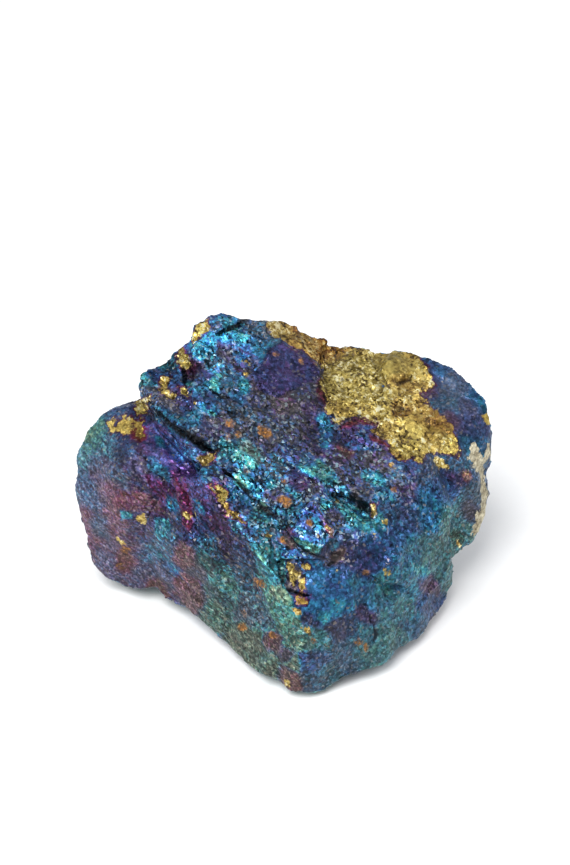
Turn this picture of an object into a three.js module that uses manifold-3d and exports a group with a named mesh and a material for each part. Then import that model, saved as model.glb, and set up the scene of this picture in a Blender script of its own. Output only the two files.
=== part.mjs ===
// A rough of peacock ore: tarnished copper-iron sulphide, broken on every side, in one piece.
//
// The frame is millimetres, +Z up. The stone stands on a small flat spot in the plane Z = 0. The
// origin is the middle of its bounding box, seen from above, at that height. -Y is its best side,
// with a corner that points forward between two steep faces, and a sloping top behind them.
//
// The form is made in four steps: convex blocks are joined, wedges are cut from them for the
// ledges and cracks of the fracture surface, the faces are split into small triangles and shifted
// by noise, and the underside is cut flat.

import * as THREE from "three";
import { ConvexGeometry } from "three/addons/geometries/ConvexGeometry.js";
import { ImprovedNoise } from "three/addons/math/ImprovedNoise.js";
import { TessellateModifier } from "three/addons/modifiers/TessellateModifier.js";
import { mergeVertices } from "three/addons/utils/BufferGeometryUtils.js";
import Module from "manifold-3d";

const wasm = await Module();
wasm.setup();

// ---- Driving dimensions, in millimetres ----

const EDGE = 4.0; // longest edge of a triangle on the broken surface
const SPLITS = 16; // rounds of edge splitting, more than any edge needs
const FAR = 200; // further than any point of the stone
const COVER = 12; // how far a cut reaches out of the surface, so that it leaves no skin
const MERGE = 1e-4; // points closer than this are one point
const DEEPEST = [0.25, 0.75]; // the stretch of a wedge's wall that has its full depth, as shares
const ROUNDS = 8; // rounds of the search for where the relief starts a corner

// Relief of the broken surface: each layer shifts points by up to about `height`, in bumps of
// about `length` across.
const RELIEF = [
  { length: 17, height: 1.3 },
  { length: 7.5, height: 0.8 },
  { length: 3.6, height: 0.5 },
];
const APART = [11.3, 37.7, 71.9]; // how far apart the noise is sampled for the shifts along X, Y and Z

// ---- Blocks: the corner points of the convex masses that are joined, in millimetres ----

// The main mass: its top slopes from the rim at the back to the front corner, and two steep faces
// run back from the corner to the left and to the right.
const BODY = [
  // the front-left rim of the top, from the front corner up to the crown
  [3, -29, 18.6],
  [-0.4, -25.5, 23.3],
  [-4.3, -20, 28.8],
  [-8.3, -16, 32.3],
  [-13, -12.5, 35.4],
  [-16, -9.5, 37.8],
  // the front-right rim, which is rounded: its upper line and its lower line
  [8.5, -19, 28],
  [17, -10.5, 33],
  [28, -0.5, 34],
  [11, -23.5, 20],
  [21, -17, 24],
  [32.5, -4, 25],
  // the back rim, from right to left
  [27, 23, 42.5],
  [12, 27, 41.7],
  [8.4, 27, 43.2],
  [-4, 24, 44],
  // feet of the front-left face
  [2.8, -30, 2.4],
  [-3.4, -26, 2.3],
  [-10.2, -18, 2.5],
  [-16, -11, 3],
  [-20, -7, 3.5],
  // feet of the front-right face
  [6.2, -29.3, 1.4],
  [13, -27.2, 2.8],
  [20, -22.6, 3.6],
  [26.4, -14.6, 2.4],
  [30.2, -8.4, 3.2],
  [33, -3, 5.7],
  // the back
  [-13, 27, 24],
  [10, 31, 20],
  [26, 26, 20],
  [-14, 21, 4],
  [6, 25, 3],
  [22, 17, 3],
  // the underside, around the flat spot
  [-8, -7, -1],
  [7, -11, -1],
  [12, 0, -1],
  [4, 10, -1],
  [-7, 8, -1],
];

// The crown: the highest part, at the back left. It steps down to the top on its right.
const CROWN = [
  // the rim, from the peak to the right and to the left
  [-12.5, 24, 51.9],
  [-8.1, 25, 50.1],
  [-3.5, 25, 49.6],
  [1, 25.5, 48.3],
  [3.8, 26, 45.9],
  [-18, 22, 50.9],
  [-18.1, 20, 49.2],
  [8.4, 27, 43.4],
  // the step on its right and its slope to the front
  [6.2, 18, 44],
  [8, 9, 41.2],
  [4, 1, 37],
  [-9, -7, 37.2],
  [-17, -4.5, 40],
  // inside the main mass, and the back
  [-17, -4, 30],
  [6, 4, 30],
  [4, 24, 30],
  [-17, 25, 34],
];

// The saddle: the slope from the crown down to its tip.
const SADDLE = [
  [-18.1, 20, 49.2],
  [-21.7, 17, 47.6],
  [-22.4, 16.2, 46.6],
  [-12, 14, 46],
  [-17, -4.5, 40.4],
  [-12, 0, 41.6],
  [-20, 19, 38],
  [-12, 20, 34],
  [-19, 4, 34],
];

// The tip: a lower step of the crown, whose wall stands over the shoulder.
const TIP = [
  [-23.2, 16, 46.3],
  [-27.7, 13, 45],
  [-28.2, 11, 43.8],
  [-27.6, 9.5, 41.8],
  [-17, -4.5, 40.8],
  [-12, 0, 42],
  [-12, 14, 46],
  [-25.5, 9.5, 36],
  [-16.5, -4, 34],
  [-25, 19, 38],
  [-12, 20, 34],
];

// The shoulder: a rounded mass on the left, lower than the crown.
const SHOULDER = [
  // its outline seen from the front, from the crown down to the foot
  [-26, 13, 38.5],
  [-31.2, 14, 36.5],
  [-36.3, 13, 35.5],
  [-39, 11, 33.2],
  [-40.5, 9, 30],
  [-40.7, 7, 26],
  [-40.3, 5, 18.8],
  [-39.6, 4, 12.5],
  [-38.6, 4, 5.8],
  [-35.4, 2, 3.8],
  [-32.5, 0, 2.4],
  [-28.9, -2, 3.3],
  [-25.9, -2, 4.1],
  // its front face
  [-31, -3, 23],
  [-22, -4, 34],
  [-34, 1, 31],
  // its back
  [-36, 18, 25],
  [-33, 18, 9],
  [-24, 26, 22],
  [-18, 25, 36],
  [-14, 22, 5],
  // inside the main mass
  [-10, 0, 8],
  [-8, 4, 34],
  [-8, 18, 34],
];

// The flank: the steep front-left side between the shoulder and the front corner.
const FLANK = [
  [-25.9, -2, 4.1],
  [-23, -4, 4.2],
  [-19.6, -7, 3.2],
  [-16.1, -11, 3],
  [-10.2, -18, 2.5],
  [-27, -5, 22],
  [-19, -11.5, 23],
  [-12, -17.5, 20],
  [-23, -4.5, 33],
  [-16.5, -9.5, 37],
  [-12, -13.5, 34],
  [-10, 0, 8],
  [-8, 0, 34],
];

// The back: a broad mass that joins the shoulder to the main mass behind the crown.
const BACK = [
  [-21, 25, 37],
  [-14, 25, 43],
  [-25, 25, 20],
  [-21, 22, 8],
  [-12, 23, 5],
  [-2, 29, 20],
  [-5, 28, 37],
  [-10, 8, 20],
  [-10, 8, 36],
];

// The right lobe: rounded, with a thin pale rind down its outer edge.
const LOBE = [
  [27.1, 23, 42.5],
  [33.1, 20, 41.6],
  [36.3, 17, 40.3],
  [39.1, 14, 38.4],
  [40.1, 12, 35.5],
  [40.4, 10, 27.9],
  [40.6, 9, 19.5],
  [39.5, 7, 16],
  [37.4, 4, 12.5],
  [33.3, 0, 9.9],
  [31, 4, 36],
  [36, 6.5, 33],
  [38, 4, 25],
  [30, 25, 26],
  [38, 17, 22],
  [33, 15, 8],
  [15, 10, 10],
  [15, 15, 38],
  [20, -5, 25],
];

// The facet: a flat block of crystal that stands out of the slope above the front corner.
const FACET = [
  [3.4, -13.4, 34.6],
  [6.4, -13.8, 33.4],
  [8.9, -17.3, 30.4],
  [6.8, -20.9, 26.8],
  [2.8, -21.1, 27],
  [0.9, -19.3, 29.3],
  [-0.4, -16, 32.6],
  [4, -10, 30],
  [8, -16, 25],
  [0, -16, 26],
];

const BLOCKS = [CROWN, SADDLE, TIP, SHOULDER, FLANK, BACK, LOBE, FACET];

// ---- Cuts: the wedges taken out along ledges and cracks, in millimetres ----

// Directions away from the surface that a wedge is cut into.
const TOP = [0, -0.35, 0.94];
const LEFT = [-0.62, -0.75, 0.25];
const RIGHT = [0.6, -0.75, 0.3];
const BEHIND = [0, 1, 0.1];

// A wedge leaves a wall that is `drop` deep below the line `wall`, and its floor rises back to
// the surface at `toe`.
const CUTS = [
  // the fresh break on the right of the crown, at the back rim
  {
    wall: [[8, 29, 42.8], [6.5, 18, 42.4], [9, 7, 39.6]],
    toe: [[18, 4, 37.8], [22, 29, 42.4]],
    drop: 0.8,
    out: TOP,
  },
  // three cracks that run forward and to the right across the top
  {
    wall: [[-11.5, -8.4, 37.8], [-1.2, -15, 32.4]],
    toe: [[-9, -13.5, 34.5], [-4.5, -16.5, 32]],
    drop: 1.8,
    out: TOP,
  },
  {
    wall: [[6.5, -5.5, 36.2], [18.2, -14, 30.2]],
    toe: [[7.5, -12, 33.6], [13.5, -16, 30.6]],
    drop: 2.6,
    out: TOP,
  },
  { wall: [[-7.5, 10.5, 44.8], [1.5, 4.2, 41.2]], toe: [[-6, 6, 43.2]], drop: 1.1, out: TOP },
  // a nick in the ridge above the front corner, and a pit beside the facet
  { wall: [[-2, -18.3, 29.4], [1.6, -25.6, 22.6]], toe: [[-3, -22, 26]], drop: 1.3, out: TOP },
  { wall: [[7.8, -18.8, 28.4], [11, -19.6, 27.4]], toe: [[9, -21.8, 25.4]], drop: 1.8, out: TOP },
  // furrows down the front-left side
  { wall: [[-30.5, 4, 36], [-18.5, -9.5, 32]], toe: [[-27, -3, 30]], drop: 1.5, out: LEFT },
  { wall: [[-20, -6.6, 35], [-13, -16.8, 23]], toe: [[-19, -11.5, 25]], drop: 1.5, out: LEFT },
  { wall: [[-9.4, -17.6, 24], [-0.5, -27.6, 13]], toe: [[-8, -20.5, 13]], drop: 1.5, out: LEFT },
  { wall: [[-27, -4.6, 20], [-15, -13.5, 9]], toe: [[-24, -5.5, 10]], drop: 1.3, out: LEFT },
  // shallow steps across the front-right side
  { wall: [[11, -20.5, 26], [25, -15.6, 14]], toe: [[13.5, -22.5, 16]], drop: 1.4, out: RIGHT },
  { wall: [[33, -1, 22], [24, -15, 9]], toe: [[31, -6, 10]], drop: 1.4, out: RIGHT },
  // ledges across the back
  {
    wall: [[-21, 26, 33], [4, 29.6, 25]],
    toe: [[-10, 27.5, 18], [0, 29.6, 18]],
    drop: 2.2,
    out: BEHIND,
  },
  { wall: [[9, 29.6, 33], [29, 25.4, 23]], toe: [[18, 29.6, 18]], drop: 2, out: BEHIND },
];

// ---- Solids from points ----

const noise = new ImprovedNoise();

function vector(point) {
  return new THREE.Vector3(...point);
}

function geometryOf(solid) {
  const mesh = solid.getMesh();
  const geometry = new THREE.BufferGeometry();
  geometry.setAttribute("position", new THREE.BufferAttribute(new Float32Array(mesh.vertProperties), 3));
  geometry.setIndex(new THREE.BufferAttribute(new Uint32Array(mesh.triVerts), 1));
  return geometry;
}

function solidOf(geometry) {
  const bare = geometry.clone();
  bare.deleteAttribute("normal");
  bare.deleteAttribute("uv");
  const merged = mergeVertices(bare, MERGE);
  return new wasm.Manifold(
    new wasm.Mesh({
      numProp: 3,
      vertProperties: new Float32Array(merged.attributes.position.array),
      triVerts: new Uint32Array(merged.index.array),
    }),
  );
}

function hull(points) {
  return solidOf(new ConvexGeometry(points));
}

function block(points) {
  return hull(points.map((point) => beforeRelief(vector(point))));
}

function wedge({ wall, toe, drop, out }) {
  const outward = vector(out).normalize();
  const surface = [...wall, ...toe].map((point) => beforeRelief(vector(point)));
  const lifted = surface.map((point) => point.clone().addScaledVector(outward, COVER));
  const [first, last] = [surface[0], surface[wall.length - 1]];
  const along = (share) => first.clone().lerp(last, share);
  const floor = DEEPEST.map((share) => along(share).addScaledVector(outward, -drop));
  return hull([...surface, ...lifted, ...floor]);
}

// The shift of the relief at a point: three samples of noise for each layer.
function shiftAt(point) {
  const shift = new THREE.Vector3();
  for (const { length, height } of RELIEF) {
    const q = point.clone().divideScalar(length);
    shift.x += height * noise.noise(q.x + APART[0], q.y, q.z);
    shift.y += height * noise.noise(q.x, q.y + APART[1], q.z);
    shift.z += height * noise.noise(q.x, q.y, q.z + APART[2]);
  }
  return shift;
}

// Where a corner has to start for the relief to bring it to its place.
function beforeRelief(place) {
  let start = place;
  for (let round = 0; round < ROUNDS; round++) {
    start = place.clone().sub(shiftAt(start));
  }
  return start;
}

function roughened(solid) {
  const geometry = new TessellateModifier(EDGE, SPLITS).modify(geometryOf(solid));
  const position = geometry.attributes.position;
  const point = new THREE.Vector3();
  for (let i = 0; i < position.count; i++) {
    point.fromBufferAttribute(position, i);
    point.add(shiftAt(point));
    position.setXYZ(i, point.x, point.y, point.z);
  }
  return solidOf(geometry);
}

function cutFlat(solid, height) {
  const below = new THREE.BoxGeometry(FAR, FAR, FAR).translate(0, 0, height - FAR / 2);
  return solid.subtract(solidOf(below));
}

// ---- The stone ----

function stoneGeometry() {
  const joined = BLOCKS.reduce((sum, points) => sum.add(block(points)), block(BODY));
  const cut = CUTS.reduce((rest, taken) => rest.subtract(wedge(taken)), joined);
  return geometryOf(cutFlat(roughened(cut), 0));
}

const stone = new THREE.Mesh(
  stoneGeometry(),
  new THREE.MeshStandardMaterial({ color: 0x2d4a78, roughness: 0.42, metalness: 0.7, flatShading: true }),
);
stone.name = "stone";

// The middle of the bounding box, seen from above, becomes the origin.
stone.geometry.computeBoundingBox();
const middle = stone.geometry.boundingBox.getCenter(new THREE.Vector3());
stone.position.set(-middle.x, -middle.y, 0);

const part = new THREE.Group();
part.add(stone);
export default part;
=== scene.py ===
"""The looks of a rough piece of peacock ore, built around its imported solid, for Blender 4.5.

The solid gives the stone its form. Here its surface is remeshed finely, broken into facets, ledges
and grain, and given a tarnish whose colour follows one number, the thickness of the film: bare
gold at 0, then crimson, purple, blue, teal and grey-green as the film grows.

The marks of the best side are placed as they show from the front: a place is (across, rise), in
millimetres in the plane of the best side, across from the stone's middle and up from its lowest
visible point.
"""

import math

import bpy
import numpy as np
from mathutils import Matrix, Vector


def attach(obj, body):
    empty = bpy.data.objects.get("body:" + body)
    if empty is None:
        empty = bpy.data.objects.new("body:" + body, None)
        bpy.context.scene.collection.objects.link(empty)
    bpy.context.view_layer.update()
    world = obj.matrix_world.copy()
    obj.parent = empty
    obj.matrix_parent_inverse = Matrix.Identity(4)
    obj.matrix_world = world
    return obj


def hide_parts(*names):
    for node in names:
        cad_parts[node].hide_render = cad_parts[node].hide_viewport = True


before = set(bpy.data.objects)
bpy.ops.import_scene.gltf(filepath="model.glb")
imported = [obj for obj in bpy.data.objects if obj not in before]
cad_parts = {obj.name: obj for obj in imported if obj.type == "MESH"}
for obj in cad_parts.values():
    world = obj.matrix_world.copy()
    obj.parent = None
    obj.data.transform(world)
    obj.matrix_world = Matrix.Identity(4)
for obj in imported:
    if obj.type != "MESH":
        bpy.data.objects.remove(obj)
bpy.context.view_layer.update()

MM = 0.001  # one millimetre in metres

# ---- The camera ----

CAMERA_DISTANCE = 397.0  # millimetres from the point that the camera circles
CAMERA_ELEVATION = math.radians(38)
CAMERA_AIM = np.array([0.0, -0.26, 24.0])  # that point, in millimetres
CAMERA_PITCH = math.radians(1.95)  # how far the camera looks above it
CAMERA_LENS = 85.0
CAMERA_SENSOR = 36.0
RISE_OF_AXIS = 50.05  # rise of the middle of the picture

# ---- The mesh ----

VOXEL = 0.33  # spacing of the fine surface, in millimetres
SMOOTHING = 5  # rounds of smoothing after the remesh
HEALING = 120  # rounds of smoothing where a wedge of the solid is filled up
HOLLOW_ROUNDS = 14  # rounds of smoothing that show where the surface is hollow
FACING_ROUNDS = 10  # rounds of smoothing that show which way a part of the stone faces
MOST_TRIANGLES = 196000
SHARP_ANGLE = math.radians(34)
FOOT_RISE = 0.1  # the relief starts at this height over the rest spot
FULL_RISE = 1.6  # and is full from this one up

# The grain of the ore. Its facets are long in one direction, GRAIN, which runs forward, right and
# down, and their ledges drop towards LEFTWARD and INWARD. The three are square to each other.
GRAIN = np.array([0.725, -0.614, -0.312])
LEFTWARD = np.array([-0.688, -0.642, -0.338])
INWARD = np.cross(GRAIN, LEFTWARD)
STRETCH = 1.9  # how much longer than wide a facet is
STREAKED_SIDE = np.array([-0.63, -0.76, 0.15])  # the side whose surface has fine streaks faces this way

# Along and across the grain as it shows from the front, and how much further a mark reaches along it.
ALONG_SHOWN = np.array([0.72, -0.69])
ACROSS_SHOWN = np.array([0.69, 0.72])
REACH_ALONG = 1.35

# The sides that the photograph doesn't show: how rough and gritty they are, how far their gold turns
# to ochre, the sizes of their patches and flakes in millimetres, and their scattered rust spots.
SIDE_ROUGHNESS = 1.1
SIDE_GRIT = 0.8
SIDE_OCHRE = 0.3
SIDE_PATCH = 5.5
SIDE_FLAKE = 2.2
RUST_SPACING = 9
RUST_SHARE = 0.35  # of the places where a spot could be
RUST_RADIUS = 0.9

OUTSIDE = -9.0  # stands for the depth inside a mark at a place far from it

# ---- Steps of the tarnish, by film thickness ----

RUSSET = 0.12
RIM_FILM = 0.13  # at the rim of the gold
THINNEST_FILM = 0.15  # elsewhere
CRIMSON = 0.19
MAGENTA = 0.26
PURPLE = 0.34
VIOLET = 0.42
INDIGO = 0.49
BLUE = 0.56
AZURE = 0.63
CYAN = 0.69
TEAL = 0.75
GREEN = 0.83
MOSS = 0.93

# Zones of the best side: where, how far they reach in millimetres, the film's step, how dull the
# surface is and how much it glints, each from 0 to 1, and how bright it is beside the rest. The glint
# sets painted highlights on its grains as well as how far their faces lean; the brightness is partly
# the tarnish's own tone and partly painted highlight and painted shade.
ZONES = [
    # the crown, with painted highlights on its brightest cyan patches
    (-12.5, 71.5, 1.6, AZURE, 0.2, 0.6, 0.85),
    (-5.5, 71, 2, AZURE, 0.5, 0.3, 0.8),
    (-11, 68.8, 1.3, CYAN, 0, 1, 3),
    (-8.2, 68.3, 1.1, CYAN, 0, 1, 2.5),
    (-9.4, 70.4, 1, CYAN, 0, 0.9, 1.3),
    (-7.6, 65.4, 1, BLUE, 0, 0.7, 1.8),
    (-15.4, 67.5, 1.1, CYAN, 0, 1, 3),
    (-17.3, 66.2, 1, CYAN, 0, 1, 1.9),
    (-14.4, 65.8, 0.9, AZURE, 0, 0.8, 0.9),
    (-18.7, 66.4, 0.6, INDIGO, 0, 0.8, 2.2),
    (-10.5, 66.4, 1, INDIGO, 0.3, 0.5, 1.2),
    (-11.8, 65, 0.9, VIOLET, 0.6, 0.5, 0.45),
    (-5.6, 66.8, 1.4, AZURE, 0.1, 0.3, 1),
    (-13.2, 63, 1.6, AZURE, 0.3, 0.8, 0.7),
    (-7, 62, 1.3, INDIGO, 0.3, 0.7, 0.7),
    (-5, 59.4, 1, PURPLE, 0.6, 0.5, 0.55),
    (-18, 62.2, 1.1, PURPLE, 0, 0.3, 0.2),
    (-22.8, 63.2, 0.9, TEAL, 0, 0.3, 0.55),
    (-22, 61.6, 1.2, BLUE, 0, 0.4, 0.8),
    (-26, 61.6, 1, BLUE, 0, 0.4, 0.9),
    (-26.9, 60.4, 1, TEAL, 0.2, 0.6, 1.2),
    (-26.4, 58, 1, BLUE, 0.5, 0.3, 0.8),
    (-22, 56, 1.3, INDIGO, 0.6, 0.3, 0.9),
    (-22.5, 53, 1.1, AZURE, 0.1, 0.4, 0.6),
    (-19.4, 56, 1.4, INDIGO, 0.1, 0.4, 1),
    (-17, 53, 1.2, AZURE, 0.1, 0.5, 0.95),
    (-16.1, 54.9, 0.6, CYAN, 0, 1, 1.5),
    (-13.6, 54, 0.7, CYAN, 0, 1, 1),
    (-14.2, 59.2, 0.9, TEAL, 0, 0.7, 1.1),
    (-17, 58.8, 0.9, CYAN, 0.1, 0.6, 0.95),
    (-7.8, 58.9, 1, TEAL, 0, 0.6, 1.15),
    (-10.6, 59.6, 1.5, AZURE, 0.3, 0.4, 0.55),
    (-8.6, 57, 1.5, BLUE, 0, 0.4, 0.8),
    (-16, 60.8, 1.1, INDIGO, 0.3, 0.6, 0.6),
    (-15.6, 57.2, 1.2, BLUE, 0.1, 0.5, 0.75),
    # the granular plate below the crown
    (-6, 56.4, 1.5, INDIGO, 0.6, 0.5, 0.4),
    (-13.5, 52, 1.5, VIOLET, 0.8, 0.5, 0.43),
    (-15, 50, 1.2, INDIGO, 0.6, 0.5, 0.43),
    (-8.5, 52.6, 2.2, BLUE, 0.55, 0.5, 0.4),
    (-4, 53, 2, BLUE, 0.5, 0.5, 0.4),
    (-6, 50, 2, INDIGO, 0.5, 0.5, 0.43),
    (-1, 54.6, 1.6, PURPLE, 0.9, 0.5, 0.4),
    (1, 51.8, 1.6, INDIGO, 0.8, 0.5, 0.36),
    (4.3, 57.4, 1.1, INDIGO, 0.7, 0.5, 0.26),
    (6.2, 55, 1.1, VIOLET, 0.2, 0.4, 0.47),
    (7.9, 57, 1, CRIMSON, 0.1, 0.1, 0.3),
    (8, 51.4, 0.8, AZURE, 0, 0.7, 0.91),
    (7.7, 48.6, 0.9, AZURE, 0.1, 0.7, 0.53),
    (5.4, 48.6, 1.5, VIOLET, 0.2, 0.4, 0.47),
    (2.2, 48.6, 1.4, INDIGO, 0.5, 0.6, 0.36),
    (-10.6, 47.4, 1.2, CYAN, 0.1, 0.8, 0.57),
    (-14.2, 47.6, 1, AZURE, 0.2, 0.6, 0.5),
    (12.4, 49.8, 1.6, INDIGO, 0.1, 0.5, 0.5),
    (11.6, 46, 0.8, RUSSET, 0.6, 0.4, 0.43),
    (18, 44, 1.5, VIOLET, 0.8, 0.6, 0.47),
    (13.4, 43.2, 1.6, INDIGO, 0.6, 0.6, 0.4),
    (9.6, 45.4, 1.3, VIOLET, 0.4, 0.6, 0.4),
    # the glittering middle
    (1, 46, 1.2, BLUE, 0.2, 0.7, 0.76),
    (-7, 46.8, 1.3, TEAL, 0.8, 0.6, 0.52),
    (-7.8, 44.8, 0.9, TEAL, 0, 1, 1.71),
    (-8.4, 40.4, 0.8, TEAL, 0, 1, 1.52),
    (-2.9, 40.4, 0.7, TEAL, 0.1, 1, 1.42),
    (-6.4, 39, 0.9, CYAN, 0, 1, 1.19),
    (-4.6, 41.4, 1, AZURE, 0.2, 0.8, 0.66),
    (-10.8, 38.4, 1, AZURE, 0, 0.8, 1.04),
    (-15.8, 41.6, 1, AZURE, 0.1, 0.8, 0.95),
    (-12.4, 42.8, 1.2, BLUE, 0.2, 0.7, 0.57),
    (-13.4, 40.4, 0.9, INDIGO, 0.3, 0.7, 0.57),
    (-1.8, 43.6, 1.3, AZURE, 0.5, 0.8, 0.71),
    (4.5, 42.8, 0.8, TEAL, 0, 1, 1.52),
    (4, 44.8, 0.9, BLUE, 0.3, 0.7, 0.66),
    (3.6, 40.6, 1.2, VIOLET, 0.1, 0.5, 0.85),
    (8, 41.6, 1.3, TEAL, 0.2, 0.6, 0.47),
    (16, 41.6, 0.8, CYAN, 0.1, 0.9, 0.95),
    (18.4, 41.3, 0.8, CYAN, 0, 0.9, 1.09),
    (15.4, 39, 1, INDIGO, 0.5, 0.5, 0.62),
    (6, 38.6, 1.6, INDIGO, 0.6, 0.7, 0.62),
    (2, 37.4, 1, AZURE, 0.2, 0.8, 0.71),
    (-1.6, 37.6, 1, INDIGO, 0.5, 0.6, 0.71),
    (8, 36, 0.6, TEAL, 0, 1, 1.23),
    (9.6, 37.4, 1.1, AZURE, 0.3, 0.8, 0.71),
    (11.4, 35.2, 0.9, TEAL, 0.2, 0.9, 1.09),
    (9.4, 34.2, 0.8, INDIGO, 0.5, 0.6, 0.57),
    (13.6, 33.6, 0.9, CYAN, 0.1, 0.9, 1.14),
    (12.2, 30.6, 1.3, BLUE, 0.4, 0.7, 0.71),
    (-7.4, 36.6, 1.2, BLUE, 0.2, 0.7, 0.81),
    (-4.6, 33.6, 1.3, TEAL, 0.3, 0.7, 0.66),
    (-0.6, 33.6, 1.4, AZURE, 0.2, 0.6, 0.52),
    (-7.6, 31.8, 1.2, AZURE, 0.2, 0.7, 0.71),
    (-3.4, 31.2, 1.3, AZURE, 0.3, 0.6, 0.62),
    (0.8, 31.4, 0.5, PURPLE, 0.3, 0.3, 1.42),
    (0.6, 28.8, 0.5, CRIMSON, 0.9, 0.3, 0.47),
    (-1.6, 28.4, 0.8, AZURE, 0.4, 0.5, 0.57),
    # around the block
    (9.2, 28, 0.8, AZURE, 0.4, 0.4, 0.5),
    (7.8, 25.8, 0.9, INDIGO, 0.5, 0.3, 0.65),
    # the right, down from the gold
    (24, 43, 1.8, INDIGO, 0.1, 0.5, 0.9),
    (22, 41.8, 1.3, AZURE, 0.6, 0.6, 0.9),
    (27.4, 42, 1.6, BLUE, 0.4, 0.4, 0.7),
    (20, 38, 1.5, AZURE, 0.1, 0.6, 0.95),
    (23.4, 38.8, 1.5, VIOLET, 0.3, 0.5, 0.75),
    (31, 39, 2, BLUE, 0, 0.2, 0.95),
    (27.6, 36.6, 2, AZURE, 0, 0.3, 0.9),
    (34, 41, 1.1, VIOLET, 0.2, 0.2, 0.8),
    (36, 38.2, 1.2, AZURE, 0.5, 0.3, 0.55),
    (35.8, 34.6, 1.2, VIOLET, 0.9, 0.1, 0.5),
    (34, 44.4, 1.5, AZURE, 0.4, 0.1, 0.85),
    (34, 34, 2, TEAL, 0.5, 0.4, 0.65),
    (33.2, 30.2, 0.5, GREEN, 0.4, 0.2, 0.35),
    # the right lobe
    (29.6, 63.2, 1.2, BLUE, 0.1, 0, 0.85),
    (28.6, 61.5, 0.9, INDIGO, 0.1, 0.1, 0.54),
    (28, 57.6, 0.9, PURPLE, 0.4, 0.2, 0.63),
    (33.6, 59.4, 1.6, BLUE, 0.6, 0, 0.63),
    (29.2, 56.2, 1, AZURE, 0.4, 0.3, 0.54),
    (33, 55.3, 1, AZURE, 0.6, 0, 0.72),
    (37.6, 57, 1.8, AZURE, 0, 0, 0.67),
    (35.4, 55.2, 1.2, INDIGO, 0.5, 0, 0.63),
    (32.8, 52.8, 0.9, PURPLE, 0.5, 0, 0.54),
    (35.6, 51.4, 1.5, INDIGO, 0.2, 0, 0.72),
    (36, 48.6, 1.5, AZURE, 0.1, 0, 0.63),
    # the front-right face
    (6.8, 21.2, 1.9, AZURE, 0, 0.05, 1.2),
    (6.4, 17, 1.8, AZURE, 0, 0.05, 1.15),
    (9.6, 19.6, 1.8, BLUE, 0, 0.1, 1.15),
    (7.6, 14, 0.9, CYAN, 0, 0.3, 0.95),
    (10.4, 16.2, 1.5, CYAN, 0, 0.3, 0.9),
    (15, 19.6, 2, AZURE, 0.1, 0.2, 0.85),
    (13, 26.6, 1.5, INDIGO, 0.2, 0.3, 0.75),
    (15.4, 24.6, 1.6, INDIGO, 0, 0.2, 0.8),
    (20, 28.6, 2.6, BLUE, 0, 0.3, 0.85),
    (17.4, 32.4, 1.5, TEAL, 0.1, 0.6, 0.8),
    (22, 34.6, 1.6, BLUE, 0.2, 0.4, 0.75),
    (24, 26.8, 1.6, CYAN, 0.2, 0.3, 0.75),
    (29.4, 25, 2, TEAL, 0.5, 0.2, 0.6),
    (26.4, 22.6, 0.9, TEAL, 0.1, 0.5, 1),
    (27.8, 20.4, 0.9, PURPLE, 0.6, 0.2, 0.75),
    (23.4, 21.2, 1.7, CYAN, 0.2, 0.3, 0.75),
    (19.2, 20.6, 1.4, TEAL, 0.2, 0.3, 0.8),
    (19.6, 17.4, 1.9, CYAN, 0.4, 0.3, 0.7),
    (23.4, 15.6, 1.6, TEAL, 0.4, 0.3, 0.75),
    (27.8, 16.8, 1.4, BLUE, 0.2, 0.1, 0.8),
    (25.4, 13, 1.8, AZURE, 0.3, 0.1, 0.7),
    (15.4, 14.2, 0.9, VIOLET, 0.3, 0.2, 0.65),
    (12.4, 12.6, 1.3, BLUE, 0.3, 0.2, 0.6),
    (9.4, 12, 1.1, INDIGO, 0.6, 0.3, 0.5),
    (15.2, 11.6, 1.1, CYAN, 0.4, 0.2, 0.65),
    (21.4, 8.8, 1.9, TEAL, 0.6, 0.1, 0.65),
    (6.6, 6, 1.3, BLUE, 0.3, 0.2, 0.75),
    (4.5, 4.8, 1.2, BLUE, 0.1, 0.2, 0.85),
    (12.4, 5.6, 1.8, AZURE, 0.6, 0.1, 0.65),
    (9, 3.4, 1.3, CYAN, 0.6, 0.2, 0.6),
    (15.6, 6.4, 1.6, TEAL, 0.6, 0.1, 0.6),
    (5.6, 9.6, 1.4, TEAL, 0.5, 0.3, 0.7),
    (1.6, 5, 1.1, MOSS, 0.9, 0.3, 0.7),
    (0.4, 2.6, 1.1, RUSSET, 1, 0.4, 0.75),
    (6, 2, 1.2, AZURE, 0.6, 0.2, 0.6),
    # the pale ridge between the two front faces
    (-6, 28.8, 1.1, CYAN, 0.2, 0.4, 0.95),
    (-4, 26.4, 1.4, TEAL, 0.2, 0.4, 0.95),
    (-2.2, 22.2, 1.5, TEAL, 0.2, 0.3, 0.98),
    (-1, 18.6, 0.7, MOSS, 0.5, 0.5, 0.95),
    (-0.6, 14.6, 1.5, GREEN, 0.2, 0.4, 1),
    (2.8, 11, 1.4, GREEN, 0.4, 0.3, 0.9),
    (5, 13.4, 0.8, INDIGO, 0.2, 0.3, 0.6),
    (2.8, 22.8, 0.7, VIOLET, 0.9, 0.3, 0.85),
    (1.6, 19.9, 0.5, VIOLET, 0.7, 0.3, 0.8),
    # the front-left face
    (-9.4, 28.4, 1.4, INDIGO, 0.3, 0.3, 0.66),
    (-7.4, 26.4, 1.3, BLUE, 0.3, 0.3, 0.7),
    (-12, 29, 1.2, VIOLET, 0.2, 0.3, 0.47),
    (-12.6, 32.4, 1.2, PURPLE, 0.2, 0.3, 0.61),
    (-15, 28, 1.4, AZURE, 0.3, 0.3, 0.52),
    (-15.2, 25, 1, TEAL, 0.5, 0.4, 0.28),
    (-12.2, 21, 1.2, TEAL, 0.4, 0.5, 0.7),
    (-13.6, 18.4, 1.4, TEAL, 0.8, 0.4, 0.47),
    (-7, 22.2, 1.3, AZURE, 0.5, 0.3, 0.61),
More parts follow.
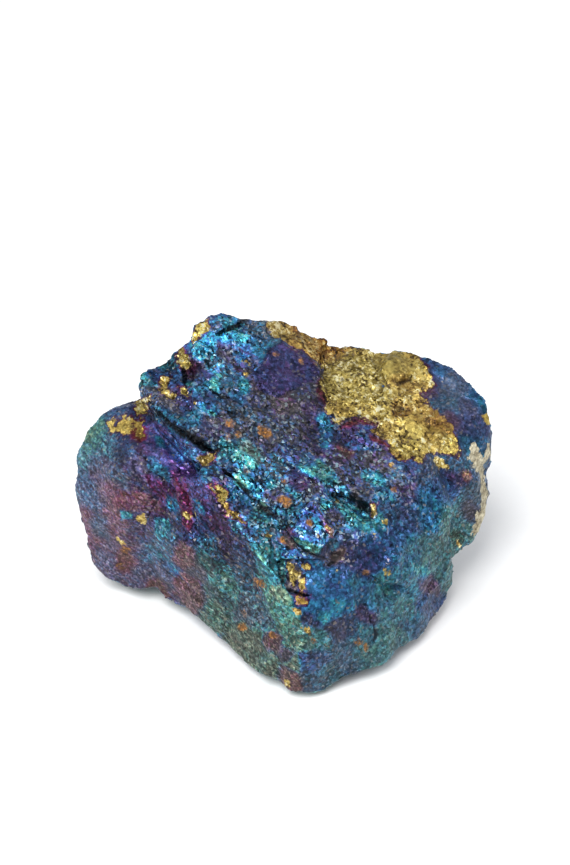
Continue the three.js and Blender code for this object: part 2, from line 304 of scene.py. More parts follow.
    (-14, 15.2, 1.3, GREEN, 0.6, 0.3, 0.61),
    (-4.6, 14.8, 1.4, AZURE, 0.8, 0.3, 0.61),
    (-4, 12, 0.9, TEAL, 0.5, 0.4, 0.75),
    (-2.4, 9.6, 0.9, CRIMSON, 0.9, 0.3, 0.68),
    (-6.6, 8, 1.6, MOSS, 0.8, 0.3, 0.61),
    (-4, 6, 1.5, GREEN, 0.8, 0.4, 0.66),
    (-2, 3.4, 1.4, MOSS, 0.9, 0.3, 0.61),
    (0.2, 6.6, 0.9, VIOLET, 0.9, 0.3, 0.56),
    (1, 9.4, 1.1, GREEN, 0.5, 0.4, 0.75),
    (-19.4, 25.6, 1.3, CRIMSON, 0.8, 0.1, 0.98),
    (-19.2, 20.8, 1.2, CRIMSON, 0.8, 0.1, 1),
    (-17.2, 23, 1, INDIGO, 0.9, 0.1, 0.52),
    (-17, 17.4, 1, CRIMSON, 0.9, 0.1, 0.85),
    # the shoulder: its outer edge and its foot
    (-37.6, 49.4, 1.6, GREEN, 0.6, 0.2, 0.9),
    (-38.4, 45, 1.8, CYAN, 0.8, 0.2, 0.95),
    (-34.4, 47.6, 1.5, AZURE, 0.6, 0.2, 0.9),
    (-36, 42.8, 1.7, VIOLET, 0.8, 0.2, 1.01),
    (-38, 37.6, 1.6, BLUE, 0.7, 0.1, 1.06),
    (-31.9, 46.4, 1.1, INDIGO, 0.4, 0.2, 0.53),
    (-33.4, 41.6, 1.3, BLUE, 0.7, 0.2, 0.85),
    (-33.6, 38.2, 1.5, MAGENTA, 0.8, 0.1, 1.01),
    (-38.8, 33.6, 1.5, MAGENTA, 0.65, 0, 1.11),
    (-37.4, 28.6, 1.5, MAGENTA, 0.7, 0, 1.01),
    (-36, 32, 1.3, BLUE, 0.95, 0.1, 0.95),
    (-33.2, 32.6, 1.4, MAGENTA, 0.9, 0.1, 1.14),
    (-34.6, 26.2, 1.6, VIOLET, 0.9, 0.1, 1.03),
    (-31, 25, 1.2, RUSSET, 0.9, 0.2, 0.92),
    (-28.4, 31, 1.4, VIOLET, 0.4, 0.1, 0.9),
    (-29.2, 28, 1.4, PURPLE, 0.7, 0.1, 0.8),
    (-27, 27, 1.4, AZURE, 0.5, 0.2, 1.01),
    (-23.4, 27.6, 1.3, AZURE, 0.4, 0.2, 0.9),
    (-21.8, 23.8, 1, AZURE, 0.1, 0.2, 1.11),
    (-25, 23, 1.4, INDIGO, 0.7, 0.1, 0.98),
    (-28.4, 22.4, 1.6, VIOLET, 0.8, 0.1, 0.98),
    (-25.6, 20.4, 0.9, RUSSET, 0.8, 0.1, 0.53),
    # the shoulder: the bright flakes beside the crevice, brightened with painted light where the crevice's
    # overhang shades them
    (-30.2, 47.6, 1.3, INDIGO, 0.2, 0.2, 0.8),
    (-28.5, 49.4, 0.7, RUSSET, 0, 0.2, 1.1),
    (-27.4, 53, 1, INDIGO, 0, 0.2, 0.6),
    (-25.4, 49.8, 1.1, VIOLET, 0, 0.2, 1.8),
    (-26.6, 47, 0.9, VIOLET, 0.1, 0.2, 1.1),
    (-29.4, 44, 1.1, VIOLET, 0.3, 0.1, 0.75),
    (-25.4, 43.8, 0.9, BLUE, 0.1, 0.3, 0.75),
    (-23.4, 45.6, 1.1, VIOLET, 0, 0.1, 1.6),
    (-21.2, 45.6, 1.1, INDIGO, 0, 0.3, 2.6),
    (-20.4, 43.4, 1.2, VIOLET, 0, 0.3, 2.4),
    (-18.6, 45.8, 0.8, BLUE, 0.1, 0.5, 1.8),
    (-21.6, 47.8, 0.9, INDIGO, 0.1, 0.2, 1.8),
    (-18, 41.2, 1.2, VIOLET, 0, 0.3, 1.7),
    (-16.4, 38.6, 1, VIOLET, 0, 0.2, 1.5),
    (-20.4, 41, 0.9, PURPLE, 0, 0.2, 1.3),
    (-24.4, 42, 0.9, AZURE, 0.1, 0.2, 0.6),
    (-25, 39.8, 1.1, PURPLE, 0, 0.1, 0.8),
    (-27.6, 39, 1.1, VIOLET, 0.3, 0.1, 0.65),
    (-25, 34.6, 0.8, PURPLE, 0.1, 0.1, 0.6),
    (-16.8, 30.2, 1.3, INDIGO, 0, 0.2, 0.65),
    (-14.8, 35.6, 0.9, VIOLET, 0, 0.3, 0.75),
]

# Sharp-edged faces of the best side: the film's step, how dull, how much it glints, how bright
# beside the rest, how far the face stands out, and its outline. The brightness is partly the face's
# own tone and partly painted highlight.
FACES = [
    # the smooth indigo facet of the crown
    (0.46, 0, 0.05, 0.72, 0.35, [
        (-3.8, 66.1), (-0.4, 67.7), (1.6, 66.1), (4.2, 65.1), (7.2, 62.2), (5.2, 60),
        (2.4, 58.8), (-1.4, 56.6), (-3.3, 57.2), (-5.3, 58.6), (-6.5, 61), (-4.7, 62.8),
    ]),
    # the violet lump that breaks into the gold
    (0.52, 0.1, 0.6, 0.9, 0.3, [
        (10.7, 50.9), (12.2, 52.5), (15.7, 52.5), (18.5, 51.7), (16.9, 49.8), (20, 48.2),
        (18.5, 46.6), (12.6, 46.6),
    ]),
    (0.42, 0.1, 0.3, 0.75, 0, [(10.6, 50), (13, 51.6), (14.4, 50.6), (12.4, 48.4), (11, 47.4)]),
    (0.18, 0.1, 0.4, 0.8, 0, [
        (10, 50.4), (11.6, 52), (13.2, 52.9), (15.8, 52.8), (18.8, 51.8), (17.4, 51.3),
        (14.6, 51.8), (12.4, 51),
    ]),
    (0.18, 0.1, 0.4, 0.8, 0, [
        (16.6, 49.5), (18.6, 48.8), (20.6, 47.6), (20.4, 47.2), (18.4, 47.9), (16.6, 48.7),
    ]),
    # the block: its blue body and blades, its green foot, its lilac edge and its stained corner,
    # the wedge under it, and the streak beside it; the body, blades and lilac edge are brightened
    # with painted highlights
    (0.56, 0, 0.9, 1.3, 0, [
        (5, 36.2), (7.3, 34.3), (8, 32.6), (9.3, 31), (9.2, 29.4), (7.4, 27.5), (5.4, 27.6),
        (2.3, 29.4), (1.3, 31), (2.5, 33), (2.7, 35), (4, 35.8),
    ]),
    (0.63, 0, 1, 1.75, 0, [(2.9, 35.2), (3.6, 35), (3.4, 33), (2.6, 31.6), (1.6, 31.4), (2.6, 33.2)]),
    (0.64, 0, 1, 1.9, 0, [(5.8, 32.9), (7.4, 32.5), (7.8, 31), (6.6, 30.6), (5.4, 31.4)]),
    (0.6, 0, 0.9, 1.6, 0, [(3, 30.8), (4.6, 31.4), (7.2, 29.6), (6.8, 28.6), (4.2, 29.4)]),
    (0.8, 0.2, 0.4, 0.75, 0, [(1.4, 29.8), (2.8, 29.4), (7.2, 27.6), (6.4, 26), (4.8, 26.8), (2.3, 28.6)]),
    (0.6, 0, 0.9, 1.3, 0, [(-1.2, 25.6), (-0.8, 27.2), (2.1, 27.6), (4.8, 26.1), (3.5, 25.6)]),
    (0.5, 0, 0.9, 1.5, 0, [(4.2, 35.8), (5, 36.4), (6.2, 35.6), (7, 34.4), (5.6, 33.8)]),
    (0.42, 0.3, 0.9, 2.4, 0, [(6.7, 34.4), (7.5, 34.1), (8.1, 32.6), (7.6, 32.2), (6.9, 33.2)]),
    (0.05, 0.5, 0.5, 1.3, 0, [(8.1, 32.8), (9.7, 30.9), (9.6, 29.6), (9, 29.8), (7.9, 31.6)]),
    (0.48, 0, 0.6, 2.2, 0, [(-1.8, 30.3), (-1.4, 30.2), (-0.6, 28.4), (-1, 28.2)]),
    # the tan patch beside the rind
    (0.05, 1, 0.6, 0.9, 0, [(34.2, 42.6), (35.2, 43), (36.6, 41.6), (36.4, 40.4), (34.8, 40.6)]),
    # the granular brown patch beside the block
    (0.15, 1, 0.2, 0.25, 0, [
        (8.7, 25.6), (9.4, 26.6), (11, 27.7), (11.9, 27.2), (11.4, 25.7), (10.4, 25), (9.4, 24.4),
    ]),
    # the crimson face of the shoulder and the flakes beside it
    (0.26, 0, 0.1, 0.85, 0.3, [
        (-21.8, 41.8), (-20.8, 40.4), (-19.4, 39.4), (-18, 36.8), (-18.2, 34.4), (-17.9, 32.6),
        (-18.8, 30.6), (-20, 32.4), (-20.1, 35), (-21, 37.4),
    ]),
    (0.63, 0, 0.2, 1, 0.1, [(-17.9, 37.5), (-15.9, 36), (-15.5, 33.8), (-16.9, 34.2)]),
    (0.59, 0, 0.2, 1.05, 0.1, [(-22.9, 38.1), (-20.8, 36.9), (-20.2, 34.2), (-22, 34.4), (-23.1, 36.3)]),
    (0.7, 0.2, 0.2, 0.95, 0.1, [(-25.3, 33.4), (-22.4, 33.2), (-22.4, 31.1), (-24.3, 29), (-25.5, 30.1)]),
    (0.74, 0.2, 0.2, 1, 0.1, [(-32, 35.6), (-29.5, 35.4), (-29.5, 33.4), (-31.9, 33.2)]),
    (0.23, 0.5, 0, 0.95, 0, [
        (-32.8, 38.1), (-28, 39), (-24.2, 36.5), (-23.9, 34.4), (-29, 34.8), (-33, 35.4),
    ]),
    (0.68, 0.1, 0.2, 1, 0.1, [(-25.6, 49.4), (-23.6, 48.6), (-23.3, 47), (-24.8, 47.4)]),
]

# Outlines of the bare gold, which the tarnish hasn't reached.
GOLD_PATCHES = [
    # the broad patch behind the plate
    [
        (-3.9, 73), (-0.4, 73), (3.1, 72), (11.7, 69), (15.4, 68), (21, 67),
        (25.3, 65.6), (26.4, 63.9), (27.1, 62.8), (28.4, 61.2), (29.7, 59), (26.4, 57.9),
        (25.5, 57.2), (26.8, 56.5), (29.2, 54.6), (30.9, 53.1), (32.5, 51.5), (33.4, 49),
        (33.8, 47.6), (33.4, 45.7), (29.2, 46.5), (27.6, 45.9), (26.8, 44.1), (25.8, 44.1),
        (24.7, 45.3), (22.4, 44.7), (21.1, 45.5), (20.6, 46.8), (20.2, 48.6), (16.9, 50),
        (18.7, 52.1), (15.7, 52.9), (13.4, 53.3), (11.9, 52.9), (10.7, 51.5), (8.4, 53.5),
        (7.8, 56.4), (6.9, 59.6), (7.8, 62.4), (4.6, 65.4), (1.8, 66.4), (-0.4, 68), (-3, 69),
    ],
    # the crown and its tip
    [(-17.8, 72), (-15.2, 72.4), (-14.6, 70.8), (-16, 68.8), (-17.4, 67.2), (-18.2, 69)],
    [(-20.8, 66), (-19, 65.6), (-18.8, 63.2), (-20.2, 62.4), (-21.2, 63.8)],
    [(-24.2, 60.2), (-22.6, 60.8), (-22.2, 58), (-20.8, 57.2), (-21.4, 56.4), (-24, 57.2)],
    [(-20.2, 58.8), (-18, 58.4), (-18.6, 57.2), (-20, 57.6)],
    # the top of the shoulder
    [(-29.3, 56.4), (-26.6, 56.6), (-26.8, 53.8), (-28.8, 53.6)],
    [(-32.7, 51.8), (-31.4, 53.6), (-29.9, 52.8), (-29.7, 50.6), (-31.6, 49.8), (-32.9, 50.2)],
    [(-34.2, 52.2), (-33.2, 52.6), (-33, 50.4), (-34, 50)],
    [(-29.6, 52.6), (-27.6, 52.4), (-27.2, 50), (-28, 48.8), (-29, 49.8)],
    # the ridge down to the front corner
    [(-17.6, 45), (-15.4, 45.7), (-13.8, 46), (-13.8, 44.2), (-15.6, 43.6)],
    [(-14.5, 39.6), (-12.5, 39.4), (-11.3, 37.8), (-11.4, 36.2), (-13, 36.8)],
    [(-13, 37), (-11.5, 36.2), (-8.2, 33.2), (-8, 32.4), (-9.4, 33.2), (-12.2, 35.4)],
    [(3.4, 25), (4.8, 24.9), (4.7, 23.8), (3.7, 23.4)],
    [(0.4, 24.9), (2.3, 25.1), (2.4, 23.8), (3.2, 22.6), (2.8, 21), (2, 20.3), (1, 21.2), (0.7, 23)],
    [(2.6, 21.2), (3.8, 21.5), (4.4, 19.2), (3.3, 19)],
    [(1.9, 18.5), (3.4, 18.3), (4.5, 17.6), (4.2, 16.8), (3.2, 16.6), (1.9, 16.9)],
    [(17, 36.2), (18, 36), (17.8, 34), (17, 34.2)],
]

# Small specks of gold: where, and their radius.
GOLD_SPECKS = [
    (39.2, 52.8, 0.9), (30.2, 44, 0.9), (31.3, 43.4, 0.5), (20.8, 43.4, 0.5), (-28, 33.2, 0.8),
    (-19, 34, 0.6), (-31.9, 28.8, 0.5), (33.6, 28.6, 0.5), (35.4, 42.2, 0.45), (10.2, 36.6, 0.4),
    (8.6, 31.6, 0.35), (9.1, 30.6, 0.3), (-3.2, 29.8, 0.5), (-7.4, 63.6, 0.4), (-7.6, 61.4, 0.35),
    (6.6, 30.1, 0.35), (-17.5, 55.6, 0.35), (4.2, 11.6, 0.6), (19.8, 32.8, 0.5), (17.4, 30.6, 0.4),
    (19.6, 23.2, 0.5), (10.4, 22.4, 0.4), (2.2, 15.4, 0.5), (0.6, 1.4, 0.5), (-2.4, 1.6, 0.5),
]

# Spots of rust: where, and their radius.
RUST_SPOTS = [
    (-10.7, 51.7, 0.75), (-4, 50.4, 1.05), (-10.6, 49.2, 0.35), (-9.1, 49.4, 0.32), (-0.1, 36.6, 0.96),
    (0, 40.4, 0.4), (-7.4, 42.6, 0.4), (4.9, 32.8, 0.64), (-4.9, 20.8, 0.8), (-8.2, 12.1, 0.64),
    (-7.8, 15, 0.32), (-2.6, 10.6, 0.56), (5.6, 9.6, 0.4), (15.6, 22.9, 0.4), (21.2, 39, 0.4),
    (-31.2, 27.4, 0.64), (-32, 24.2, 0.48), (14.2, 9.2, 0.48), (15.5, 8.3, 0.4), (2.1, 70.7, 0.72),
    (-1.8, 65.2, 0.32), (3, 63.8, 0.32), (-0.6, 29, 0.48),
]

# Parts of the gold: where, how far they reach, how far it turns to ochre, and how bright it is,
# partly its own tone and partly painted highlight and painted shade, as on the smooth lobe's lit
# side and its dark underside.
GOLD_ZONES = [
    (8.5, 67, 1.8, 0.9, 0.8), (3, 68.6, 1.8, 0.6, 0.7), (3, 66.6, 1, 0.6, 1),
    (-1.6, 69.8, 1.5, 0.3, 0.85), (12, 62.6, 1.8, 0.1, 0.9), (12, 59.4, 2.4, 0, 1),
    (13, 56.6, 1.5, 0, 1.2), (17.4, 57.2, 1.5, 0, 1.2), (17.6, 61.6, 1.5, 0, 1.05),
    (17, 64.6, 1.5, 0.1, 0.95), (21.8, 62.4, 1.4, 0.1, 0.8), (19.6, 62.8, 0.9, 0, 1.3),
    (22.6, 60.2, 1.2, 0.6, 0.65), (25.4, 61.6, 1.6, 0.25, 1.05), (22.2, 57.6, 1.3, 0.2, 1.05),
    (22.6, 54.8, 0.8, 0.7, 0.8), (26.6, 53.6, 1.3, 0.4, 1), (30.2, 52, 1.3, 0.7, 0.7),
    (29.4, 49.4, 1.2, 0.3, 1.1), (25.2, 51.2, 1.3, 0, 1.6), (32.3, 47.4, 1, 0.1, 1.9),
    (23, 48.4, 1.5, 0.1, 1.1), (25, 46, 1.4, 0.2, 1.1), (21.6, 44.4, 1, 0.6, 0.85),
    (10, 53.6, 1.5, 0.1, 1.15), (-17.4, 70, 1.4, 0, 1.6), (-20.2, 64.4, 1.4, 0.2, 1.05),
    (-23, 59, 1.4, 0.2, 1.2), (-28.4, 55.4, 1.2, 0.1, 1), (-31.4, 52, 1.4, 0.2, 1.25),
    (-28.6, 51.2, 1.2, 0.4, 1.1), (-15, 44.8, 1.5, 0.2, 0.85), (-13, 38, 1.3, 0.1, 1),
    (-10, 34.4, 1.3, 0.3, 0.9), (2, 23, 1.8, 0.1, 1.1), (3, 17.4, 1, 0.6, 1.2),
    (17.7, 35.2, 0.8, 0.1, 1),
]

# Lines have points of (across, rise, half the width there).
# The pale rind down the outer edge of the right lobe.
RIND = [
    [
        (36.8, 47.9, 0.3), (36.8, 46.8, 0.8), (36.9, 45.6, 1.2), (37.3, 44.3, 1), (37.9, 43, 0.8),
        (38.3, 41.9, 0.45), (38.4, 40.8, 0.35), (38.6, 39.8, 0.5), (38.8, 37.6, 0.8),
        (38.4, 35, 0.6), (37.8, 33.4, 0.9), (37.5, 32, 0.8), (36.9, 30.7, 0.6), (36.4, 29.8, 0.3),
    ],
    [(39.4, 48, 0.2), (39.6, 46.8, 0.6), (39.4, 45.4, 0.6), (38.6, 44.3, 0.5)],
]

# Cracks and overhangs, each with its depth.
CRACKS = [
    # under the tip of the crown, and on towards the middle
    (1.1, [
        (-26.5, 56, 0.2), (-24.5, 53.5, 0.4), (-22, 51.3, 0.6), (-19.8, 49.9, 1.1),
        (-17.6, 48.6, 1.5), (-15.8, 47.4, 1), (-14.4, 46.6, 0.4),
    ]),
    (0.7, [
        (-12.2, 43, 0.3), (-8.4, 39.4, 0.55), (-6.4, 37.4, 0.6), (-4.6, 35.9, 0.75),
        (-2.9, 34.5, 0.85), (-1.6, 33.6, 0.3),
    ]),
    (0.2, [(-8.4, 39.4, 0.25), (-5.6, 40.8, 0.15)]),
    # across the right of the plate
    (0.9, [(12.2, 38.2, 0.3), (13.8, 37.1, 1.1), (15.2, 35.8, 1.2), (16.6, 34.5, 0.6), (17.2, 33.9, 0.2)]),
    (0.1, [(18.2, 33.6, 0.2), (21.6, 34.8, 0.2), (25, 35.6, 0.1)]),
    # on the crown
    (0.7, [(-13.4, 68.9, 0.15), (-12, 69.7, 0.45), (-10.2, 70.7, 0.7), (-7.6, 71.9, 0.5)]),
    (0.3, [(-7.4, 67.4, 0.3), (-6.8, 67.9, 0.4)]),
    (0.3, [(-22.8, 65, 0.5), (-22.4, 63.8, 0.4)]),
    (0.4, [(-20, 62.6, 0.4), (-19.4, 60, 0.6), (-19, 59, 0.3)]),
    (0.5, [(-16, 59.6, 0.1), (-13.7, 57.7, 0.35), (-12, 56.9, 0.6), (-10.5, 56.6, 0.25)]),
    (0.15, [(-4.6, 57.8, 0.1), (-2, 56.2, 0.2), (1.2, 57.8, 0.15)]),
    # round the block and down the nick in the ridge
    (0.5, [(-1.3, 25, 0.2), (-1, 23, 0.4), (-0.2, 21, 0.45), (0.6, 19.7, 0.5), (1.4, 19.1, 0.5)]),
    (0.4, [(1.4, 19.1, 0.5), (2.8, 18.8, 0.45), (4.6, 18.3, 0.15)]),
    (0.4, [(8.4, 24.2, 0.2), (9, 24.7, 0.5), (9.6, 24.9, 0.2)]),
    (0.3, [(3.1, 27.9, 0.15), (6.2, 26, 0.3), (8.4, 25, 0.3)]),
    (0.3, [(-1.4, 25, 0.3), (1.4, 25.4, 0.25), (4, 25.4, 0.15)]),
    # in the gold: under its smooth lobe, in its pit, and between its lumps
    (0.5, [(20.8, 60, 0.1), (22.4, 59.7, 0.4), (24, 60.2, 0.45), (24.8, 61.4, 0.15)]),
    (0.5, [(21.8, 55.2, 0.2), (22.4, 54.8, 0.5), (23.2, 54.6, 0.15)]),
    (0.25, [(12.6, 64.2, 0.1), (14.2, 62.4, 0.25), (16, 60.8, 0.1)]),
    (0.2, [(16, 64.8, 0.2), (17.2, 63.4, 0.25), (18.2, 61.6, 0.1)]),
    (0.15, [(15.4, 58.6, 0.1), (17.6, 57.6, 0.2), (19.4, 56.6, 0.1)]),
    (0.25, [(23.2, 51.6, 0.1), (23.5, 50.2, 0.3), (24.6, 48.8, 0.1)]),
    (0.2, [(28.2, 52, 0.1), (28.2, 50.6, 0.25), (27.6, 49.4, 0.1)]),
    # on the front-right face, the right lobe and the shoulder
    (0.3, [(15.8, 14.9, 0.15), (16.4, 14, 0.4), (16.6, 13.2, 0.15)]),
    (0.3, [(17.2, 12.6, 0.2), (17.6, 11, 0.5), (17.1, 9.4, 0.2)]),
    (0.2, [(32.3, 30.5, 0.15), (34.4, 30.4, 0.35), (35.8, 29.9, 0.2)]),
    (0.1, [(-14.3, 25.8, 0.2), (-13.3, 24, 0.3), (-12.7, 22.4, 0.2)]),
]

# Stretches where the solid's own wedges are filled up again: points of (across, rise, half width).
HEALED = [
    [(5.5, 42.6, 2.2), (9.5, 40, 2.4), (11.5, 38.6, 1.2)],
    [(-12.5, 42, 1.5), (-8.6, 39.6, 2.4), (-3, 34.6, 2.6), (-1, 33, 1.5)],
    [(-9, 50.5, 2), (-3, 45.5, 2.5), (2, 41.5, 1.5)],
    [(-14, 30, 2), (-12, 24, 2), (-11, 19, 1.5)],
]

# Flat-topped blocks: how far one stands out, and its outline.
BLOCKS = [
    # the bright block above the nick, and the wedge under it
    (1.1, [
        (5, 36.2), (7.3, 34.3), (8, 32.6), (9.5, 31), (9.4, 29.4), (7.4, 27.5), (6.4, 26),
        (4.8, 26.8), (2.3, 28.6), (1.3, 29.8), (1.2, 31), (2.5, 33), (2.6, 35), (4, 35.8),
    ]),
    (0.4, [(-1.4, 25.3), (-1, 27.4), (2.1, 27.6), (5.4, 25.7), (3.5, 25.4)]),
    (0.5, [(-2.8, 36.2), (-1.6, 38.4), (1.4, 38.6), (3.4, 36.6), (2, 35.2), (-0.6, 34.8)]),
    (0.5, [(-10.2, 43.6), (-9, 46), (-6.4, 45.8), (-5.4, 43.4), (-6.8, 42.2)]),
    (0.5, [(-10, 41), (-8.6, 42), (-6.6, 41.2), (-5.6, 38.8), (-7.4, 38.2)]),
    (0.4, [(-15, 60.8), (-13, 61.6), (-7, 59.4), (-8.6, 57.6), (-13.4, 58.4)]),
    (0.4, [(-18.4, 67.4), (-13.6, 69), (-12.6, 66), (-16.4, 64.6)]),
    (0.4, [(-12.6, 69.2), (-7, 71), (-6.4, 68), (-10.4, 67)]),
]

# Lumps and dents: where, how far they reach, and how far they stand out, or in if negative.
LUMPS = [
    # on the gold: its smooth lobe, its pale crystal, its corner and the pit between them
    (21.6, 62.2, 3.2, 1.6),
    (25.7, 50.9, 2.7, 1),
    (32.3, 47.6, 1.5, 0.5),
    (22.2, 54.6, 1.6, -0.5),
    (13.5, 58.5, 2.2, 0.4),
    (18, 55.5, 1.8, 0.3),
    (17, 63.4, 1.8, -0.3),
    (28.6, 52, 2, -0.3),
    (11, 62.4, 2, 0.3),
    # the violet lump
    (15.4, 50, 3.4, 0.6),
    # the crown
    (2, 70.6, 1.2, 0.7),
    (-16.4, 70.6, 1.8, 0.4),
    (-18.9, 61, 1.6, -0.6),
    (-10.6, 67, 2.2, 0.3),
    (1, 62, 5, 0.3),
    # the knob and the pit
    (3.1, 17.4, 1.4, 0.6),
    (2.6, 22.6, 2.2, -0.4),
    # the glittering middle
    (-5.8, 43.4, 2.2, 0.5),
    (-8, 40.8, 2.2, 0.4),
    (4.4, 42.4, 2, 0.4),
    (10.4, 40, 2.4, 0.4),
    (12.8, 33.6, 2.4, 0.3),
    (-0.2, 36.8, 2.4, 0.25),
]

# Where the outline of the best side swells or shrinks: the place, its reach, and how far.
SWELLS = [
    (-13.5, 73, 5, 0.7), (8.8, 68, 2.8, 1.8), (13.5, 66.8, 5, 0.8), (-32.8, 54.9, 4, 0.7),
    (-40, 36, 7, 0.4), (-35.8, 22.9, 5, 0.9), (-22, 17.6, 4, -0.8), (-6, 3.6, 5, 1),
    (12, 2.4, 6, -0.9), (31, 18, 4, -0.6), (36.6, 29.5, 4, 0.6), (38.4, 33, 3, 0.7),
    (39, 36.6, 3, 0.3), (39.8, 38.3, 1, 0.4), (38.8, 42.4, 2.5, -0.7),
]

# How rough the broken surface is: where, how far it reaches, and the share of the full relief.
ROUGHNESS_ZONES = [
    (0, 40, 9, 1.25), (-14, 62, 9, 1.2), (18, 57, 11, 1.1), (0.5, 62, 3.4, 0.3),
    (21.4, 62.6, 2.2, 0.12), (25.4, 51.2, 1.5, 0.3), (36, 54, 7, 0.3), (33, 38, 7, 0.7),
    (18, 15, 13, 0.55), (-6, 12, 8, 0.8), (-34, 36, 11, 0.45), (-20, 35, 7, 0.9),
    (6.8, 19.6, 2.6, 0.25), (2.2, 22.4, 1.4, 1.3),
]

# Layers of facets: the size of a facet in millimetres, and how far its corners stand out or in.
FACET_LAYERS = [(6.5, 0.42), (3.1, 0.22), (1.5, 0.1), (0.8, 0.05)]

# Blocky crystals: their size, how far one stands out or in, and how much it tilts.
CRYSTAL_SIZE = 1.4
CRYSTAL_LEVEL = 0.05
CRYSTAL_TILT = 0.16

# Ledges: how far apart they are, and the height of a full one.
LEDGE_SPACING = 5.2
LEDGE_HEIGHT = 0.3


# ---- Noise ----
# The salt of each call picks its pattern.


def hashed(cells, salt):
    """A random-looking number from 0 to 1 for each lattice cell."""
    x, y, z = (cells[:, axis].astype(np.uint32) for axis in range(3))
    h = x * np.uint32(73856093) ^ y * np.uint32(19349663) ^ z * np.uint32(83492791)
    h = h ^ np.uint32((salt * 2654435761) % 2**32)
    for _ in range(2):
        h = (h ^ (h >> np.uint32(16))) * np.uint32(0x45D9F3B)
    h = h ^ (h >> np.uint32(16))
    return h / 2.0**32


def hashed_vectors(cells, salt):
    """A random-looking vector with parts from 0 to 1 for each lattice cell."""
    return np.stack([hashed(cells, salt + axis) for axis in range(3)], 1)


def noise(points, length, salt):
    """Smooth noise from -1 to 1, in bumps of about length across."""
    place = points / length
    home = np.floor(place)
    share = place - home
    share = share * share * (3 - 2 * share)
    total = np.zeros(len(points))
    for corner in np.ndindex(2, 2, 2):
        weight = np.prod(np.where(corner, share, 1 - share), axis=1)
        total += weight * hashed((home + corner).astype(np.int64), salt)
    return total * 2 - 1


def fractal(points, length, salt, octaves=3):
    """Noise with finer and finer octaves, from about -1 to 1."""
    layers = [noise(points, length / 2**k, salt + k) / 2**k for k in range(octaves)]
    return sum(layers) / 1.4


def shifts(points, length, salts, octaves=2):
    """Noise that moves points about, with one direction for each salt."""
    return np.stack([fractal(points, length, salt, octaves) for salt in salts], 1)


def nearest_cell(points, size, salt):
    """For each point, the cell of a scattered pattern that it lies in, and its place from the seed."""
    place = points / size
    home = np.floor(place)
    nearest = np.full(len(points), np.inf)
    found = np.zeros_like(points)
    offset = np.zeros_like(points)
    for step in np.ndindex(3, 3, 3):
        cell = home + step - 1
        away = place - cell - hashed_vectors(cell.astype(np.int64), salt)
        distance = (away * away).sum(1)
        closer = distance < nearest
        nearest[closer] = distance[closer]
        found[closer] = cell[closer]
        offset[closer] = away[closer]
    return found.astype(np.int64), offset * size


def scattered_spots(points, size, share, radius, salt):
    """How far each point lies inside round spots that are scattered over the stone."""
    cell, offset = nearest_cell(points, size, salt)
    chosen = hashed(cell, salt + 30) < share
    reach = radius * (0.6 + 0.8 * hashed(cell, salt + 31))
    return np.where(chosen, reach, -1) - np.linalg.norm(offset, axis=1)


def along_grain(points):
    """Points in the grain's own directions, with the long one shortened, so that cells are long."""
    return np.stack([points @ GRAIN / STRETCH, points @ LEFTWARD, points @ INWARD], 1)


def facets(points, size, level, salt):
    """The height of flat facets that meet at sharp edges: random corners, joined by flat faces."""
    place = points / size
    corner = np.floor(place)
    share = place - corner
    order = np.argsort(-share, axis=1)
    walk = np.take_along_axis(share, order, 1)
    corner = corner.astype(np.int64)
    rows = np.arange(len(points))
    height = (1 - walk[:, 0]) * hashed(corner, salt)
    for k in range(3):
        corner[rows, order[:, k]] += 1
        weight = walk[:, k] - (walk[:, k + 1] if k < 2 else 0)
        height += weight * hashed(corner, salt)
    return level * (2 * height - 1)


def crystals(points, salt):
    """The height of blocky crystals, each at a level and a tilt of its own."""
    cell, offset = nearest_cell(points, CRYSTAL_SIZE, salt)
    lean = hashed_vectors(cell, salt + 10) - 0.5
    height = (hashed(cell, salt + 20) * 2 - 1) * CRYSTAL_LEVEL
    return height + 2 * CRYSTAL_TILT * (offset * lean).sum(1)


def ledges(points, normals, direction, salt):
    """Long steps that rise slowly and drop suddenly towards a direction."""
    warp = fractal(points, 9, salt, 2) * 0.55 + fractal(points, 2.5, salt + 5, 2) * 0.12
    run = points @ direction / LEDGE_SPACING + warp
    slope = np.sqrt(np.clip(1 - (normals @ direction) ** 2, 0, 1))
    strength = np.clip(fractal(points, 12, salt + 9, 2) * 1.4 + 0.45, 0, 1)
    return LEDGE_HEIGHT * slope * strength * (run - np.floor(run) - 0.5)


# ---- Marks in the plane of the best side ----


def smooth_step(value, low, high):
    """0 below low and 1 above high, with a smooth rise between them."""
    share = np.clip((value - low) / (high - low), 0, 1)
    return share * share * (3 - 2 * share)


def camera_axes():
    """The camera's place in millimetres, and its right, up and forward directions."""
    back = np.array([0, -math.cos(CAMERA_ELEVATION), math.sin(CAMERA_ELEVATION)])
    down = CAMERA_ELEVATION - CAMERA_PITCH
    forward = np.array([0, math.cos(down), -math.sin(down)])
    up = np.array([0, math.sin(down), math.cos(down)])
    right = np.array([1.0, 0, 0])
    return CAMERA_AIM + CAMERA_DISTANCE * back, right, up, forward


def seen_from_front(points, normals):
    """Each point's (across, rise) in the plane of the best side, and how squarely it faces the camera."""
    eye, right, up, forward = camera_axes()
    ray = points - eye
    depth = ray @ forward
    across = CAMERA_DISTANCE * (ray @ right) / depth
    rise = CAMERA_DISTANCE * (ray @ up) / depth + RISE_OF_AXIS
    facing = -(normals * ray).sum(1) / np.linalg.norm(ray, axis=1)
    return np.stack([across, rise], 1), facing


def best_side(points, normals):
    """The places from the front, their facing, and two sets of ragged shifts, broad and narrow."""
    places, facing = seen_from_front(points, normals)
    return places, facing, shifts(points, 3.4, (31, 41)), shifts(points, 1.1, (34, 44))


def between(front, best, rest):
    """A value of the best side, carried over to that of the other sides where front falls to 0."""
    return best * front + rest * (1 - front)


